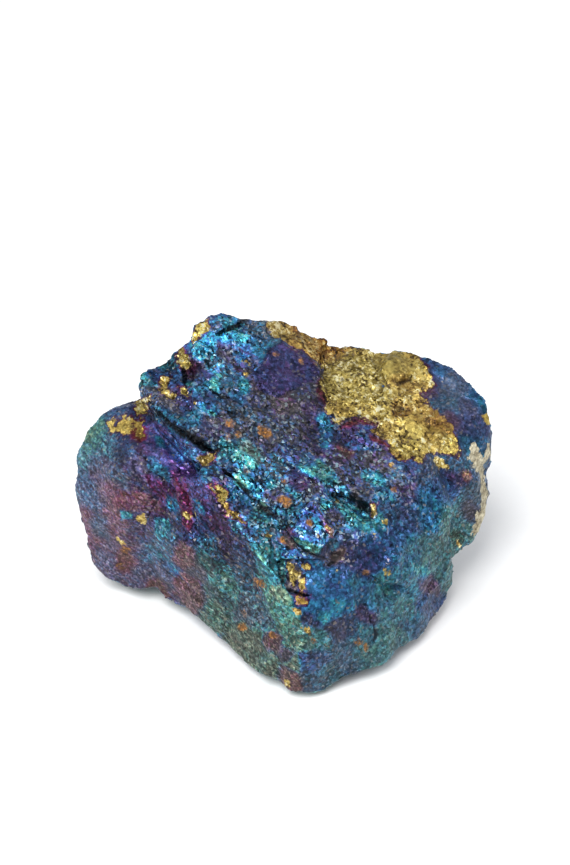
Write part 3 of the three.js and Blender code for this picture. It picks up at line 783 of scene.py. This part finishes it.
def to_segment(places, start, end):
    """The distance of each place to a straight line, and how far along the line is nearest to it."""
    run = np.subtract(end, start)
    share = np.clip((places - start) @ run / (run @ run), 0, 1)
    away = places - start - share[:, None] * run
    return np.hypot(away[:, 0], away[:, 1]), share


def inside_line(places, line):
    """How far each place lies inside a line whose width varies: 1 at its middle, 0 at its edge."""
    inside = np.full(len(places), OUTSIDE)
    for (*start, half), (*end, next_half) in zip(line[:-1], line[1:]):
        distance, share = to_segment(places, start, end)
        inside = np.maximum(inside, 1 - distance / (half + (next_half - half) * share))
    return inside


def inside_depth(places, outline):
    """How far each place lies inside a closed outline, negative outside it."""
    closed = outline + outline[:1]
    x, y = places[:, 0], places[:, 1]
    inside = np.zeros(len(places), bool)
    nearest = np.full(len(places), np.inf)
    for start, end in zip(closed[:-1], closed[1:]):
        nearest = np.minimum(nearest, to_segment(places, start, end)[0])
        (x0, y0), (x1, y1) = start, end
        if y0 != y1:
            crosses = (y0 > y) != (y1 > y)
            inside ^= crosses & (x < (x1 - x0) * (y - y0) / (y1 - y0) + x0)
    return np.where(inside, nearest, -nearest)


def grain_distance(places, at):
    """Distance from a point, shorter along the grain as it shows from the front."""
    away = places - at
    return np.hypot(away @ ALONG_SHOWN / REACH_ALONG, away @ ACROSS_SHOWN)


def inside_spot(places, spot):
    """How far each place lies inside a spot that is long along the grain."""
    across, rise, radius = spot
    return radius - grain_distance(places, (across, rise))


def deepest(measure, places, marks):
    """How far each place lies inside any of the marks, by one of the three measures above."""
    depth = np.full(len(places), OUTSIDE)
    for mark in marks:
        depth = np.maximum(depth, measure(places, mark))
    return depth


def blended(places, zones):
    """The zones' values, mixed by how near each zone is for its reach, and by its wide tail elsewhere."""
    weights = np.zeros(len(places))
    total = np.zeros((len(places), len(zones[0]) - 3))
    for across, rise, reach, *values in zones:
        near = (grain_distance(places, (across, rise)) / reach) ** 2
        weight = (np.exp(-1.5 * near) + 1e-5 / (1 + near)) / reach
        weights += weight
        total += weight[:, None] * values
    return (total / weights[:, None]).T


# ---- The surface ----


def placed(name, data):
    """A new object of this data in the scene."""
    made = bpy.data.objects.new(name, data)
    bpy.context.scene.collection.objects.link(made)
    return made


def relief(points, normals):
    """How far the broken surface stands out of the solid at each point, in millimetres."""
    places, facing, broad, narrow = best_side(points, normals)
    uneven = places + broad * 0.35 + narrow * 0.25
    front = smooth_step(facing, -0.1, 0.25)
    rough = between(front, blended(places, ROUGHNESS_ZONES)[0], SIDE_ROUGHNESS)
    grained = along_grain(points)
    bent = shifts(grained, 2.4, (1, 2, 3))
    height = ledges(points, normals, LEFTWARD, 51) + ledges(points, normals, INWARD, 61)
    for number, (size, level) in enumerate(FACET_LAYERS):
        height += facets(grained + bent * size * 0.3, size, level, 100 + 40 * number)
    height += crystals(grained + bent * 0.2, 300) * smooth_step(rough, 0.6, 1.0)
    height *= rough
    for across, rise, reach, lift in LUMPS:
        away = grain_distance(uneven, (across, rise))
        height += lift * front * smooth_step(1 - away / reach, 0, 0.8)
    for across, rise, reach, lift in SWELLS:
        away = np.hypot(places[:, 0] - across, places[:, 1] - rise)
        height += lift * smooth_step(facing, -0.7, -0.3) * smooth_step(1 - away / reach, 0, 0.9)
    gold = deepest(inside_depth, uneven, GOLD_PATCHES)
    broken = facets(points, 3.1, 0.55, 400) + facets(points + broad[:, :1] * 0.3, 1.4, 0.24, 440)
    height += broken * np.minimum(rough, 1) * front * smooth_step(gold, -0.2, 0.6)
    for lift, outline in [face[-2:] for face in FACES] + BLOCKS:
        height += lift * front * smooth_step(inside_depth(uneven, outline), -0.3, 0.5)
    for depth, line in CRACKS:
        height -= depth * front * np.clip(inside_line(uneven, line), 0, 1) ** 0.7
    return height * smooth_step(points[:, 2], FOOT_RISE, FULL_RISE)


def read(mesh, kind):
    """The mesh's vertex places or normals as an array."""
    values = np.zeros(len(mesh.vertices) * 3)
    source = mesh.vertices if kind == "co" else mesh.vertex_normals
    source.foreach_get(kind, values)
    return values.reshape(-1, 3)


def with_modifiers(mesh, modifiers):
    """A new mesh with modifiers applied: each is a kind and its settings."""
    holder = placed("holder", mesh)
    for kind, settings in modifiers:
        modifier = holder.modifiers.new(kind, kind)
        for name, value in settings.items():
            setattr(modifier, name, value)
    graph = bpy.context.evaluated_depsgraph_get()
    made = bpy.data.meshes.new_from_object(holder.evaluated_get(graph))
    bpy.data.objects.remove(holder)
    return made


def smoothed(mesh, points, rounds):
    """The points moved to the mean of their neighbours, a number of times."""
    edges = np.zeros(len(mesh.edges) * 2, np.int32)
    mesh.edges.foreach_get("vertices", edges)
    first, second = edges.reshape(-1, 2).T
    count = np.bincount(edges, minlength=len(points))[:, None]
    for _ in range(rounds):
        total = np.zeros_like(points)
        for axis in range(3):
            total[:, axis] = np.bincount(first, points[second, axis], len(points))
            total[:, axis] += np.bincount(second, points[first, axis], len(points))
        points = (points + total / count) / 2
    return points


def healed(mesh, points, normals):
    """The points, with the solid's wedges filled up along the healed stretches."""
    places, facing = seen_from_front(points, normals)
    share = smooth_step(deepest(inside_line, places, HEALED), 0, 0.5) * smooth_step(facing, 0, 0.3)
    return points + (smoothed(mesh, points, HEALING) - points) * share[:, None]


def fine_surface(node):
    """The solid's surface on a fine even mesh, with its relief."""
    mesh = with_modifiers(
        node.data.copy(),
        [
            ("WELD", {"merge_threshold": 0.001 * MM}),
            ("REMESH", {"mode": "VOXEL", "voxel_size": VOXEL * MM}),
            ("SMOOTH", {"factor": 0.5, "iterations": SMOOTHING}),
        ],
    )
    points = read(mesh, "co") / MM
    normals = read(mesh, "vector")
    points = healed(mesh, points, normals)
    points += normals * relief(points, normals)[:, None]
    points[:, 2] = np.maximum(points[:, 2], 0)
    mesh.vertices.foreach_set("co", (points * MM).astype(np.float32).ravel())
    triangles = sum(len(face.vertices) - 2 for face in mesh.polygons)
    share = min(1.0, MOST_TRIANGLES / triangles)
    return with_modifiers(mesh, [("DECIMATE", {"ratio": share, "use_collapse_triangulate": True})])


def side_looks(points, normals):
    """The film, dullness, glint and brightness of the sides that the photograph doesn't show."""
    under = smooth_step(-normals[:, 2], 0.2, 0.8)
    warp = shifts(points, 3.0, (11, 14, 17), 3)
    patch, _ = nearest_cell(along_grain(points) + warp * 1.5, SIDE_PATCH, 281)
    flake, _ = nearest_cell(along_grain(points) + warp * 0.8, SIDE_FLAKE, 285)
    film = 0.6 + 0.3 * fractal(points, 17, 201, 3) + 0.1 * fractal(points, 4.5, 211, 2)
    film += 0.2 * (hashed(patch, 291) - 0.5) + 0.1 * (hashed(flake, 292) - 0.5)
    dull = 0.2 + 0.4 * fractal(points, 14, 231, 2) + 0.3 * hashed(patch, 293) + 0.3 * under
    glint = 0.2 + 0.6 * fractal(points, 12, 241, 2) + 0.6 * hashed(patch, 294) - 0.5 * under
    bright = 0.6 + 0.5 * hashed(patch, 295) + 0.4 * hashed(flake, 296)
    return np.array([np.clip(film, CRIMSON, GREEN), np.clip(dull, 0, 0.9), np.clip(glint, 0, 1), bright])


def tarnish(points, normals, hollow):
    """The values that the material reads, one of each for each vertex."""
    places, facing, broad, narrow = best_side(points, normals)
    uneven = places + broad * 0.35 + narrow * 0.35
    front = smooth_step(facing, -0.15, 0.15)

    looks = blended(places + broad * 0.9 + narrow * 0.5, ZONES)
    for *face, _, outline in FACES:
        share = smooth_step(inside_depth(uneven, outline), -0.2, 0.2)
        looks += (np.array(face)[:, None] - looks) * share
    film, dull, glint, bright = between(front, looks, side_looks(points, normals))

    gold = deepest(inside_depth, places + broad * 0.5 + narrow * 0.6, GOLD_PATCHES)
    side_gold = (fractal(points, 15, 251, 3) - 0.5) * 9
    ochre, gold_bright = blended(uneven, GOLD_ZONES)
    speck = np.where(front > 0.5, deepest(inside_spot, uneven, GOLD_SPECKS), OUTSIDE)
    rust = np.where(front > 0.5, deepest(inside_spot, uneven, RUST_SPOTS), OUTSIDE)
    side_rust = scattered_spots(points, RUST_SPACING, RUST_SHARE, RUST_RADIUS, 261)
    rust = np.maximum(rust, between(front, -2, side_rust))
    rind = deepest(inside_line, places + narrow * 0.4, RIND)

    grit = blended(places, ROUGHNESS_ZONES)[0] * 0.8 + 0.15
    # Painted shade: hollows and cracks are darkened, the deeper cracks more.
    painted_shade = np.clip(hollow * 2 - 0.1, 0, 0.6)
    for depth, line in CRACKS:
        share = front * min(1, 0.35 + 1.5 * depth)
        painted_shade = np.maximum(painted_shade, share * smooth_step(inside_line(uneven, line), -0.1, 0.5))
    return {
        "film": film + 0.03 * fractal(points, 2.4, 221, 3),
        "dull": dull,
        "glint": glint,
        # partly the tarnish's own tone, partly painted highlight and shade
        "bright": bright,
        "gold": np.clip(between(front, gold, side_gold), -3, 3),
        "speck": np.clip(speck, -2, 2),
        "grit": np.clip(between(front, grit, SIDE_GRIT), 0, 1),
        "ochre": np.clip(between(front, ochre, SIDE_OCHRE) + 0.25 * fractal(points, 5, 271, 2), 0, 1),
        # partly the gold's own tone, partly painted highlight and shade
        "gold_bright": between(front, gold_bright, 1),
        "rust": np.clip(rust, -2, 2),
        "rind": np.clip(np.where(facing > -0.3, rind, OUTSIDE), -2, 2),
        "painted_shade": painted_shade,
        "streak": smooth_step(normals @ STREAKED_SIDE, 0.5, 0.85),
        # a painted highlight on convex edges
        "edge": np.clip(-hollow * 3, 0, 1),
    }


def stone_piece(node):
    """The dressed stone, with the values of its tarnish on the vertices."""
    mesh = fine_surface(node)
    points = read(mesh, "co") / MM
    normals = read(mesh, "vector")
    hollow = ((smoothed(mesh, points, HOLLOW_ROUNDS) - points) * normals).sum(1)
    broad = smoothed(mesh, normals, FACING_ROUNDS)
    broad /= np.linalg.norm(broad, axis=1)[:, None]
    for name, values in tarnish(points, broad, hollow).items():
        attribute = mesh.attributes.new(name, "FLOAT", "POINT")
        attribute.data.foreach_set("value", values.astype(np.float32))
    mesh.shade_smooth()
    mesh.set_sharp_from_angle(angle=SHARP_ANGLE)
    return placed("stone_surface", mesh)


# ---- Colours ----


def colour(red, green, blue):
    """An sRGB colour, given from 0 to 255, as linear values with alpha."""

    def linear(value):
        share = value / 255
        return share / 12.92 if share <= 0.04045 else ((share + 0.055) / 1.055) ** 2.4

    return (linear(red), linear(green), linear(blue), 1.0)


def stops(*rows):
    """The stops of a colour ramp, from rows of a place and an sRGB colour."""
    return [(place, colour(*rgb)) for place, *rgb in rows]


# The tarnish by film thickness, and the painted highlights of the crystal faces that catch the light on
# it.
FILM_COLOURS = stops(
    (0, 196, 168, 95),
    (0.08, 150, 96, 58),
    (0.15, 98, 38, 42),
    (0.24, 100, 38, 74),
    (0.34, 78, 48, 92),
    (0.44, 60, 55, 98),
    (0.54, 45, 68, 112),
    (0.63, 40, 92, 130),
    (0.71, 42, 118, 140),
    (0.79, 58, 130, 128),
    (0.88, 82, 128, 108),
    (1, 106, 120, 98),
)
SHINE_COLOURS = stops(
    (0, 255, 236, 170),
    (0.12, 210, 130, 80),
    (0.22, 170, 60, 100),
    (0.34, 140, 84, 170),
    (0.46, 110, 104, 200),
    (0.56, 84, 150, 235),
    (0.64, 80, 195, 245),
    (0.72, 105, 232, 240),
    (0.8, 155, 244, 226),
    (0.9, 200, 238, 190),
)
DUST_COLOURS = stops((0.3, 46, 46, 52), (0.5, 88, 88, 88), (0.7, 144, 136, 122))

# Bare gold, from painted shade in its crevices to painted highlights on its crystal faces, which fall
# on its grains at random, and the same where it is stained.
GOLD_COLOURS = stops(
    (0.15, 56, 44, 20),
    (0.32, 110, 94, 42),
    (0.5, 154, 136, 70),
    (0.68, 190, 172, 96),
    (0.8, 228, 212, 142),
    (0.9, 255, 246, 204),
)
OCHRE_COLOURS = stops(
    (0.15, 42, 26, 18),
    (0.35, 104, 62, 26),
    (0.55, 152, 106, 40),
    (0.75, 190, 150, 70),
    (0.9, 232, 208, 140),
)
RUST_COLOURS = stops((0.3, 66, 42, 22), (0.5, 122, 80, 34), (0.7, 174, 120, 48))
RIND_COLOURS = stops((0.3, 84, 72, 54), (0.42, 140, 130, 104), (0.6, 196, 188, 162))

# Single grains: a pale one and a painted glint; the painted shade of cracks and hollows in tarnish and in
# gold; and the floor's paper, whose shades are linear.
PALE_GRAIN = colour(170, 160, 144)
SPARK = colour(206, 246, 250)
TARNISH_SHADOW = colour(6, 8, 14)
GOLD_SHADOW = colour(48, 34, 14)
PAPER = [(0, (0.86, 0.86, 0.86, 1)), (1, (0.89, 0.89, 0.89, 1))]

# Sizes of the ore's grains, and the height of the bumps on them, in millimetres.
COARSE_GRAIN = 1.7
MIDDLE_GRAIN = 0.7
FINE_GRAIN = 0.47
BUMP_HEIGHT = 0.12
MIDDLE = (0.5, 0.5, 0.5)  # the middle of the range of a random colour

# ---- Materials ----


class Graph:
    """A material's nodes, with a short call for each kind that is used here."""

    def __init__(self, name):
        self.material = bpy.data.materials.new(name)
        self.material.use_nodes = True
        self.tree = self.material.node_tree
        self.shader = self.tree.nodes["Principled BSDF"]
        self.place = self.node("ShaderNodeTexCoord").outputs["Object"]

    def node(self, kind, **settings):
        made = self.tree.nodes.new(kind)
        for name, value in settings.items():
            setattr(made, name, value)
        return made

    def put(self, socket, value):
        """Links a socket to another node's output, or sets its plain value."""
        if isinstance(value, bpy.types.NodeSocket):
            self.tree.links.new(value, socket)
        else:
            socket.default_value = value

    def fed(self, kind, values, output=0, **settings):
        """An output of a new node whose inputs have these values, by their number or name."""
        made = self.node(kind, **settings)
        for name, value in values.items():
            self.put(made.inputs[name], value)
        return made.outputs[output]

    def finished(self, values):
        """The material, with these values on its shader."""
        for name, value in values.items():
            self.put(self.shader.inputs[name], value)
        return self.material

    def attribute(self, name):
        return self.node("ShaderNodeAttribute", attribute_name=name).outputs["Fac"]

    def math(self, operation, *values):
        return self.fed("ShaderNodeMath", dict(enumerate(values)), operation=operation)

    def vector_math(self, operation, *values):
        return self.fed("ShaderNodeVectorMath", dict(enumerate(values)), operation=operation)

    def times(self, first, second):
        return self.math("MULTIPLY", first, second)

    def larger(self, first, second):
        return self.math("MAXIMUM", first, second)

    def plus(self, start, value, share):
        """The start with a share of a value added."""
        return self.math("MULTIPLY_ADD", value, share, start)

    def eased(self, factor, share):
        """A factor, brought nearer to 1 as its share falls from 1 to 0."""
        return self.plus(1.0, self.math("SUBTRACT", factor, 1.0), share)

    def scaled(self, vector, scale):
        return self.fed("ShaderNodeVectorMath", {0: vector, "Scale": scale}, operation="SCALE")

    def spread(self, value, low, high, to_low=0.0, to_high=1.0):
        """A value carried from one range to another, and held inside it."""
        values = dict(enumerate((value, low, high, to_low, to_high)))
        return self.fed("ShaderNodeMapRange", values, clamp=True)

    def swing(self, value, reach):
        """A value from 0 to 1, carried to the range from -reach to reach."""
        return self.spread(value, 0.0, 1.0, -reach, reach)

    def mix(self, share, first, second, blend="MIX"):
        values = {0: share, 6: first, 7: second}
        settings = {"data_type": "RGBA", "blend_type": blend, "clamp_factor": True}
        return self.fed("ShaderNodeMix", values, 2, **settings)

    def tinted(self, shade, factor):
        return self.mix(1.0, shade, factor, "MULTIPLY")

    def ramp(self, value, rows):
        made = self.node("ShaderNodeValToRGB")
        elements = made.color_ramp.elements
        while len(elements) < len(rows):
            elements.new(0.5)
        for element, (place, shade) in zip(elements, rows):
            element.position = place
            element.color = shade
        self.put(made.inputs[0], value)
        return made.outputs[0]

    def noise(self, length, detail, roughness=0.55, vector=None, output="Fac"):
        """Noise from about 0 to 1, in bumps of about length millimetres."""
        values = {"Vector": vector or self.place, "Scale": 1 / (length * MM)}
        values |= {"Detail": detail, "Roughness": roughness}
        return self.fed("ShaderNodeTexNoise", values, output)

    def cells(self, size, vector):
        """A random colour for each cell of about size millimetres, and its three parts."""
        values = {"Vector": vector, "Scale": 1 / (size * MM)}
        cells = self.fed("ShaderNodeTexVoronoi", values, "Color")
        parts = self.node("ShaderNodeSeparateXYZ")
        self.put(parts.inputs[0], cells)
        return cells, *parts.outputs

    def stretched(self, vector, stretch):
        """A place in the grain's own directions, with the long one shortened."""
        made = self.node("ShaderNodeCombineXYZ")
        for socket, axis in zip(made.inputs, (GRAIN / stretch, LEFTWARD, INWARD)):
            values = {0: vector, 1: tuple(axis)}
            self.put(socket, self.fed("ShaderNodeVectorMath", values, "Value", operation="DOT_PRODUCT"))
        return made.outputs[0]


class OreGraph(Graph):
    """The ore's material: its patterns and masks first, then the looks that are made of them."""

    def __init__(self, name):
        super().__init__(name)
        self.dull = self.attribute("dull")
        self.glint = self.attribute("glint")
        self.grit = self.attribute("grit")
        self.streak = self.attribute("streak")
        self.lively = self.spread(self.glint, 0.0, 0.7, 0.5, 1.0)

        # Places along the grain, bent by noise, so that the grains are long and have ragged edges.
        bend = self.vector_math("SUBTRACT", self.noise(0.8, 3.0, output="Color"), MIDDLE)
        bent = self.vector_math("ADD", self.place, self.scaled(bend, 0.9 * MM))
        grained = self.stretched(bent, 1.6)
        self.coarse, self.coarse_a, self.coarse_b, self.coarse_c = self.cells(COARSE_GRAIN, grained)
        self.grain, self.grain_a, self.grain_b, self.grain_c = self.cells(MIDDLE_GRAIN, grained)
        self.fine, self.fine_a, self.fine_b, self.fine_c = self.cells(FINE_GRAIN, bent)
        self.ragged = self.noise(1.3, 4.0, 0.65)
        self.uneven = self.spread(self.ragged, 0.25, 0.75, -1.0, 1.0)
        self.mottle = self.noise(0.5, 3.0, 0.6)
        self.cloud = self.noise(3.5, 3.0, 0.6)
        self.streaks = self.noise(0.45, 3.0, 0.6, self.stretched(bent, 7.0))
        # Painted shade between grains: dark patches in the gaps between clusters of crystals.
        self.painted_gap_shade = self.spread(self.noise(0.9, 3.0, 0.7, grained), 0.36, 0.46, 0.35, 1.08)
        self.speckle = self.spread(self.math("POWER", self.fine_b, 1.6), 0.0, 1.0, 0.14, 2.35)

        # Masks with ragged edges.
        gold_depth = self.frayed("gold", 0.7)
        self.gold = self.spread(gold_depth, -0.08, 0.12)
        self.rim = self.spread(gold_depth, -0.6, -0.05)
        self.rim = self.times(self.rim, self.spread(self.cloud, 0.35, 0.6, 0.2, 1.0))
        self.speck = self.spread(self.frayed("speck", 0.6), -0.1, 0.15)
        self.rind = self.spread(self.frayed("rind", 0.8), -0.1, 0.2)
        self.rust = self.spread(self.frayed("rust", 0.5), -0.3, 0.2)
        self.rust = self.times(self.rust, self.spread(self.mottle, 0.3, 0.5, 0.45, 0.95))

    def frayed(self, name, reach):
        """An attribute that holds a depth inside a mark, with noise to make the mark's edge ragged."""
        return self.plus(self.attribute(name), self.uneven, reach)

    def film(self):
        """The film: its zone, a step of its own in each grain, and thin at the rim of the gold."""
        film = self.attribute("film")
        for value, reach in ((self.coarse_a, 0.05), (self.grain_a, 0.06), (self.fine_a, 0.05)):
            film = self.plus(film, self.swing(value, reach), self.lively)
        film = self.plus(film, self.spread(self.streaks, 0.3, 0.7, -0.12, 0.12), self.streak)
        film = self.larger(film, THINNEST_FILM)
        return self.plus(film, self.math("SUBTRACT", RIM_FILM, film), self.rim)

    def shade(self):
        """How bright each grain is, with painted highlight and shade from the zones, painted shade between
        grains and a painted highlight on convex edges. Each row is a pattern's factor and how far it
        counts.
        """
        shade = self.attribute("bright")
        for factor, share in (
            (self.speckle, self.grit),
            (self.spread(self.grain_b, 0.0, 1.0, 0.5, 1.45), self.lively),
            (self.spread(self.coarse_b, 0.0, 1.0, 0.8, 1.2), self.lively),
            (self.spread(self.mottle, 0.3, 0.7, 0.65, 1.35), 1.0),
            (self.spread(self.cloud, 0.3, 0.7, 0.8, 1.2), 1.0),
            (self.spread(self.streaks, 0.3, 0.7, 0.55, 1.4), self.streak),
            # painted shade between grains
            (self.painted_gap_shade, self.grit),
            (0.5, self.rim),
            # a painted highlight on convex edges
            (1.3, self.attribute("edge")),
        ):
            shade = self.times(shade, self.eased(factor, share))
        return shade

    def tarnished(self):
        """The film's colour, with dust on some grains, pale grains, and painted highlights and glints
        where crystal faces shine.
        """
        film = self.film()
        shade = self.shade()
        base = self.tinted(self.ramp(film, FILM_COLOURS), shade)
        dusty = self.spread(self.math("SUBTRACT", self.dull, self.fine_a), 0.0, 0.15)
        dusty = self.times(self.times(dusty, self.grit), 0.7)
        dusty = self.larger(dusty, self.times(self.dull, 0.4))
        base = self.mix(dusty, base, self.tinted(self.ramp(self.mottle, DUST_COLOURS), shade))
        pale = self.spread(self.fine_c, 0.955, 0.965)
        pale = self.times(pale, self.spread(self.lively, 0.4, 1.0, 0.1, 0.45))
        base = self.mix(pale, base, PALE_GRAIN)
        # Painted highlights: grains that take the colour of a shining crystal face.
        shining = self.larger(self.spread(self.grain_c, 0.84, 0.88), self.spread(self.fine_c, 0.82, 0.86))
        shining = self.larger(shining, self.spread(self.coarse_c, 0.88, 0.92, 0.0, 0.7))
        shining = self.times(shining, self.spread(self.glint, 0.35, 1.0, 0.0, 0.85))
        shining = self.times(shining, self.spread(self.mottle, 0.35, 0.6, 0.3, 1.0))
        base = self.mix(shining, base, self.ramp(film, SHINE_COLOURS))
        # Painted glints: a few grains turned near white.
        spark = self.spread(self.fine_b, 0.92, 0.94)
        spark = self.times(spark, self.spread(self.glint, 0.4, 1.0, 0.0, 0.85))
        return self.mix(spark, base, SPARK)

    def golden(self):
        """Bare gold, with a level of its own in each grain, and stained in parts; its zones add painted
        highlight and shade, and painted shade falls between its grains.
        """
        level = self.spread(self.ragged, 0.3, 0.7, 0.36, 0.64)
        values = (self.fine_b, self.grain_b, self.coarse_b, self.mottle)
        for value, reach in zip(values, (0.31, 0.22, 0.14, 0.16)):
            level = self.plus(level, self.swing(value, reach), self.grit)
        clean = self.ramp(level, GOLD_COLOURS)
        golden = self.mix(self.attribute("ochre"), clean, self.ramp(level, OCHRE_COLOURS))
        # Painted highlight and shade from the gold's zones.
        lit = self.times(self.attribute("gold_bright"), self.spread(self.cloud, 0.3, 0.55, 0.75, 1.1))
        return self.tinted(golden, self.times(lit, self.eased(self.painted_gap_shade, 0.7)))

    def base_colour(self):
        """The tarnish, the gold, the rust and the rind, one over the other, with painted shade in the
        cracks and hollows.
        """
        golden = self.golden()
        base = self.mix(self.gold, self.tarnished(), golden)
        base = self.mix(self.speck, base, golden)
        for mask, pattern, rows, share in (
            (self.rust, self.mottle, RUST_COLOURS, 0.4),
            (self.rind, self.ragged, RIND_COLOURS, 0.3),
        ):
            crust = self.tinted(self.ramp(pattern, rows), self.eased(self.speckle, share))
            base = self.mix(mask, base, crust)
        # Painted shade: cracks and hollows are darkened towards a shadow colour.
        shadow = self.mix(self.gold, TARNISH_SHADOW, GOLD_SHADOW)
        painted_shade = self.times(self.attribute("painted_shade"), self.spread(self.mottle, 0.35, 0.6, 0.8, 1.1))
        return self.mix(painted_shade, base, shadow)

    def normal(self):
        """Each grain's face leans its own way, and more so where the surface glints."""
        crystal = self.larger(self.glint, self.times(self.gold, 0.9))
        normal = self.node("ShaderNodeNewGeometry").outputs["Normal"]
        for cells, share, reach in (
            (self.fine, self.grit, 0.7),
            (self.grain, crystal, 0.9),
            (self.coarse, crystal, 0.5),
        ):
            lean = self.vector_math("SUBTRACT", cells, MIDDLE)
            normal = self.vector_math("ADD", normal, self.scaled(lean, self.times(share, reach)))
        values = {"Strength": 0.5, "Distance": BUMP_HEIGHT * MM}
        values["Height"] = self.mix(self.streak, self.mottle, self.streaks)
        values["Normal"] = self.vector_math("NORMALIZE", normal)
        return self.fed("ShaderNodeBump", values)


def ore_material():
    """Metal under a thin film. Rust and rind are rough and are not metal."""
    graph = OreGraph("tarnished_ore")
    earthy = graph.larger(graph.rust, graph.rind)
    metal = graph.times(graph.spread(graph.dull, 0.0, 1.0, 0.85, 0.3), graph.math("SUBTRACT", 1.0, earthy))
    rough = graph.plus(graph.spread(graph.fine_a, 0.0, 1.0, 0.3, 0.5), graph.dull, 0.2)
    rough = graph.math("MINIMUM", graph.plus(rough, earthy, 0.4), 0.95)
    return graph.finished({
        "Base Color": graph.base_colour(),
        "Metallic": metal,
        "Roughness": rough,
        "Normal": graph.normal(),
    })


def floor_material():
    """Pale matt paper."""
    graph = Graph("studio_floor")
    return graph.finished({"Base Color": graph.ramp(graph.noise(3.0, 3.0), PAPER), "Roughness": 0.9})


# ---- The studio ----

FLOOR_HALF = 6.0  # half the floor's side, in metres

# The soft square lights: name, place and size in metres, and power in watts.
LIGHTS = [
    ("key", (-0.22, -0.34, 0.68), 0.5, 7.2),
    ("fill", (0.6, 0.25, 0.5), 0.7, 2.3),
]
LIGHT_AIM = (0, 0, 0.025)
SKY_COLOUR = (0.95, 0.97, 1.0, 1)
SKY_STRENGTH = 0.55


def make_floor():
    mesh = bpy.data.meshes.new("floor")
    corners = [(-1, -1), (1, -1), (1, 1), (-1, 1)]
    mesh.from_pydata([(x * FLOOR_HALF, y * FLOOR_HALF, 0) for x, y in corners], [], [(0, 1, 2, 3)])
    floor = placed("floor", mesh)
    floor.data.materials.append(floor_material())


def make_light(name, place, size, power):
    lamp = bpy.data.lights.new(name, "AREA")
    lamp.size = size
    lamp.energy = power
    holder = placed(name, lamp)
    holder.location = place
    aim = Vector(np.subtract(LIGHT_AIM, place))
    holder.rotation_euler = aim.to_track_quat("-Z", "Y").to_euler()


def make_camera():
    data = bpy.data.cameras.new("camera")
    data.lens = CAMERA_LENS
    data.sensor_width = CAMERA_SENSOR
    camera = placed("camera", data)
    camera.location = camera_axes()[0] * MM
    camera.rotation_euler = (math.pi / 2 - CAMERA_ELEVATION + CAMERA_PITCH, 0, 0)
    bpy.context.scene.camera = camera


def make_world():
    world = bpy.data.worlds.new("studio")
    world.use_nodes = True
    background = world.node_tree.nodes["Background"]
    background.inputs["Color"].default_value = SKY_COLOUR
    background.inputs["Strength"].default_value = SKY_STRENGTH
    bpy.context.scene.world = world


make_camera()
make_world()
make_floor()
for light in LIGHTS:
    make_light(*light)
bpy.context.scene.view_settings.view_transform = "Standard"

stone = stone_piece(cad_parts["stone"])
stone.data.materials.clear()
stone.data.materials.append(ore_material())
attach(stone, "root")
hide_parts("stone")
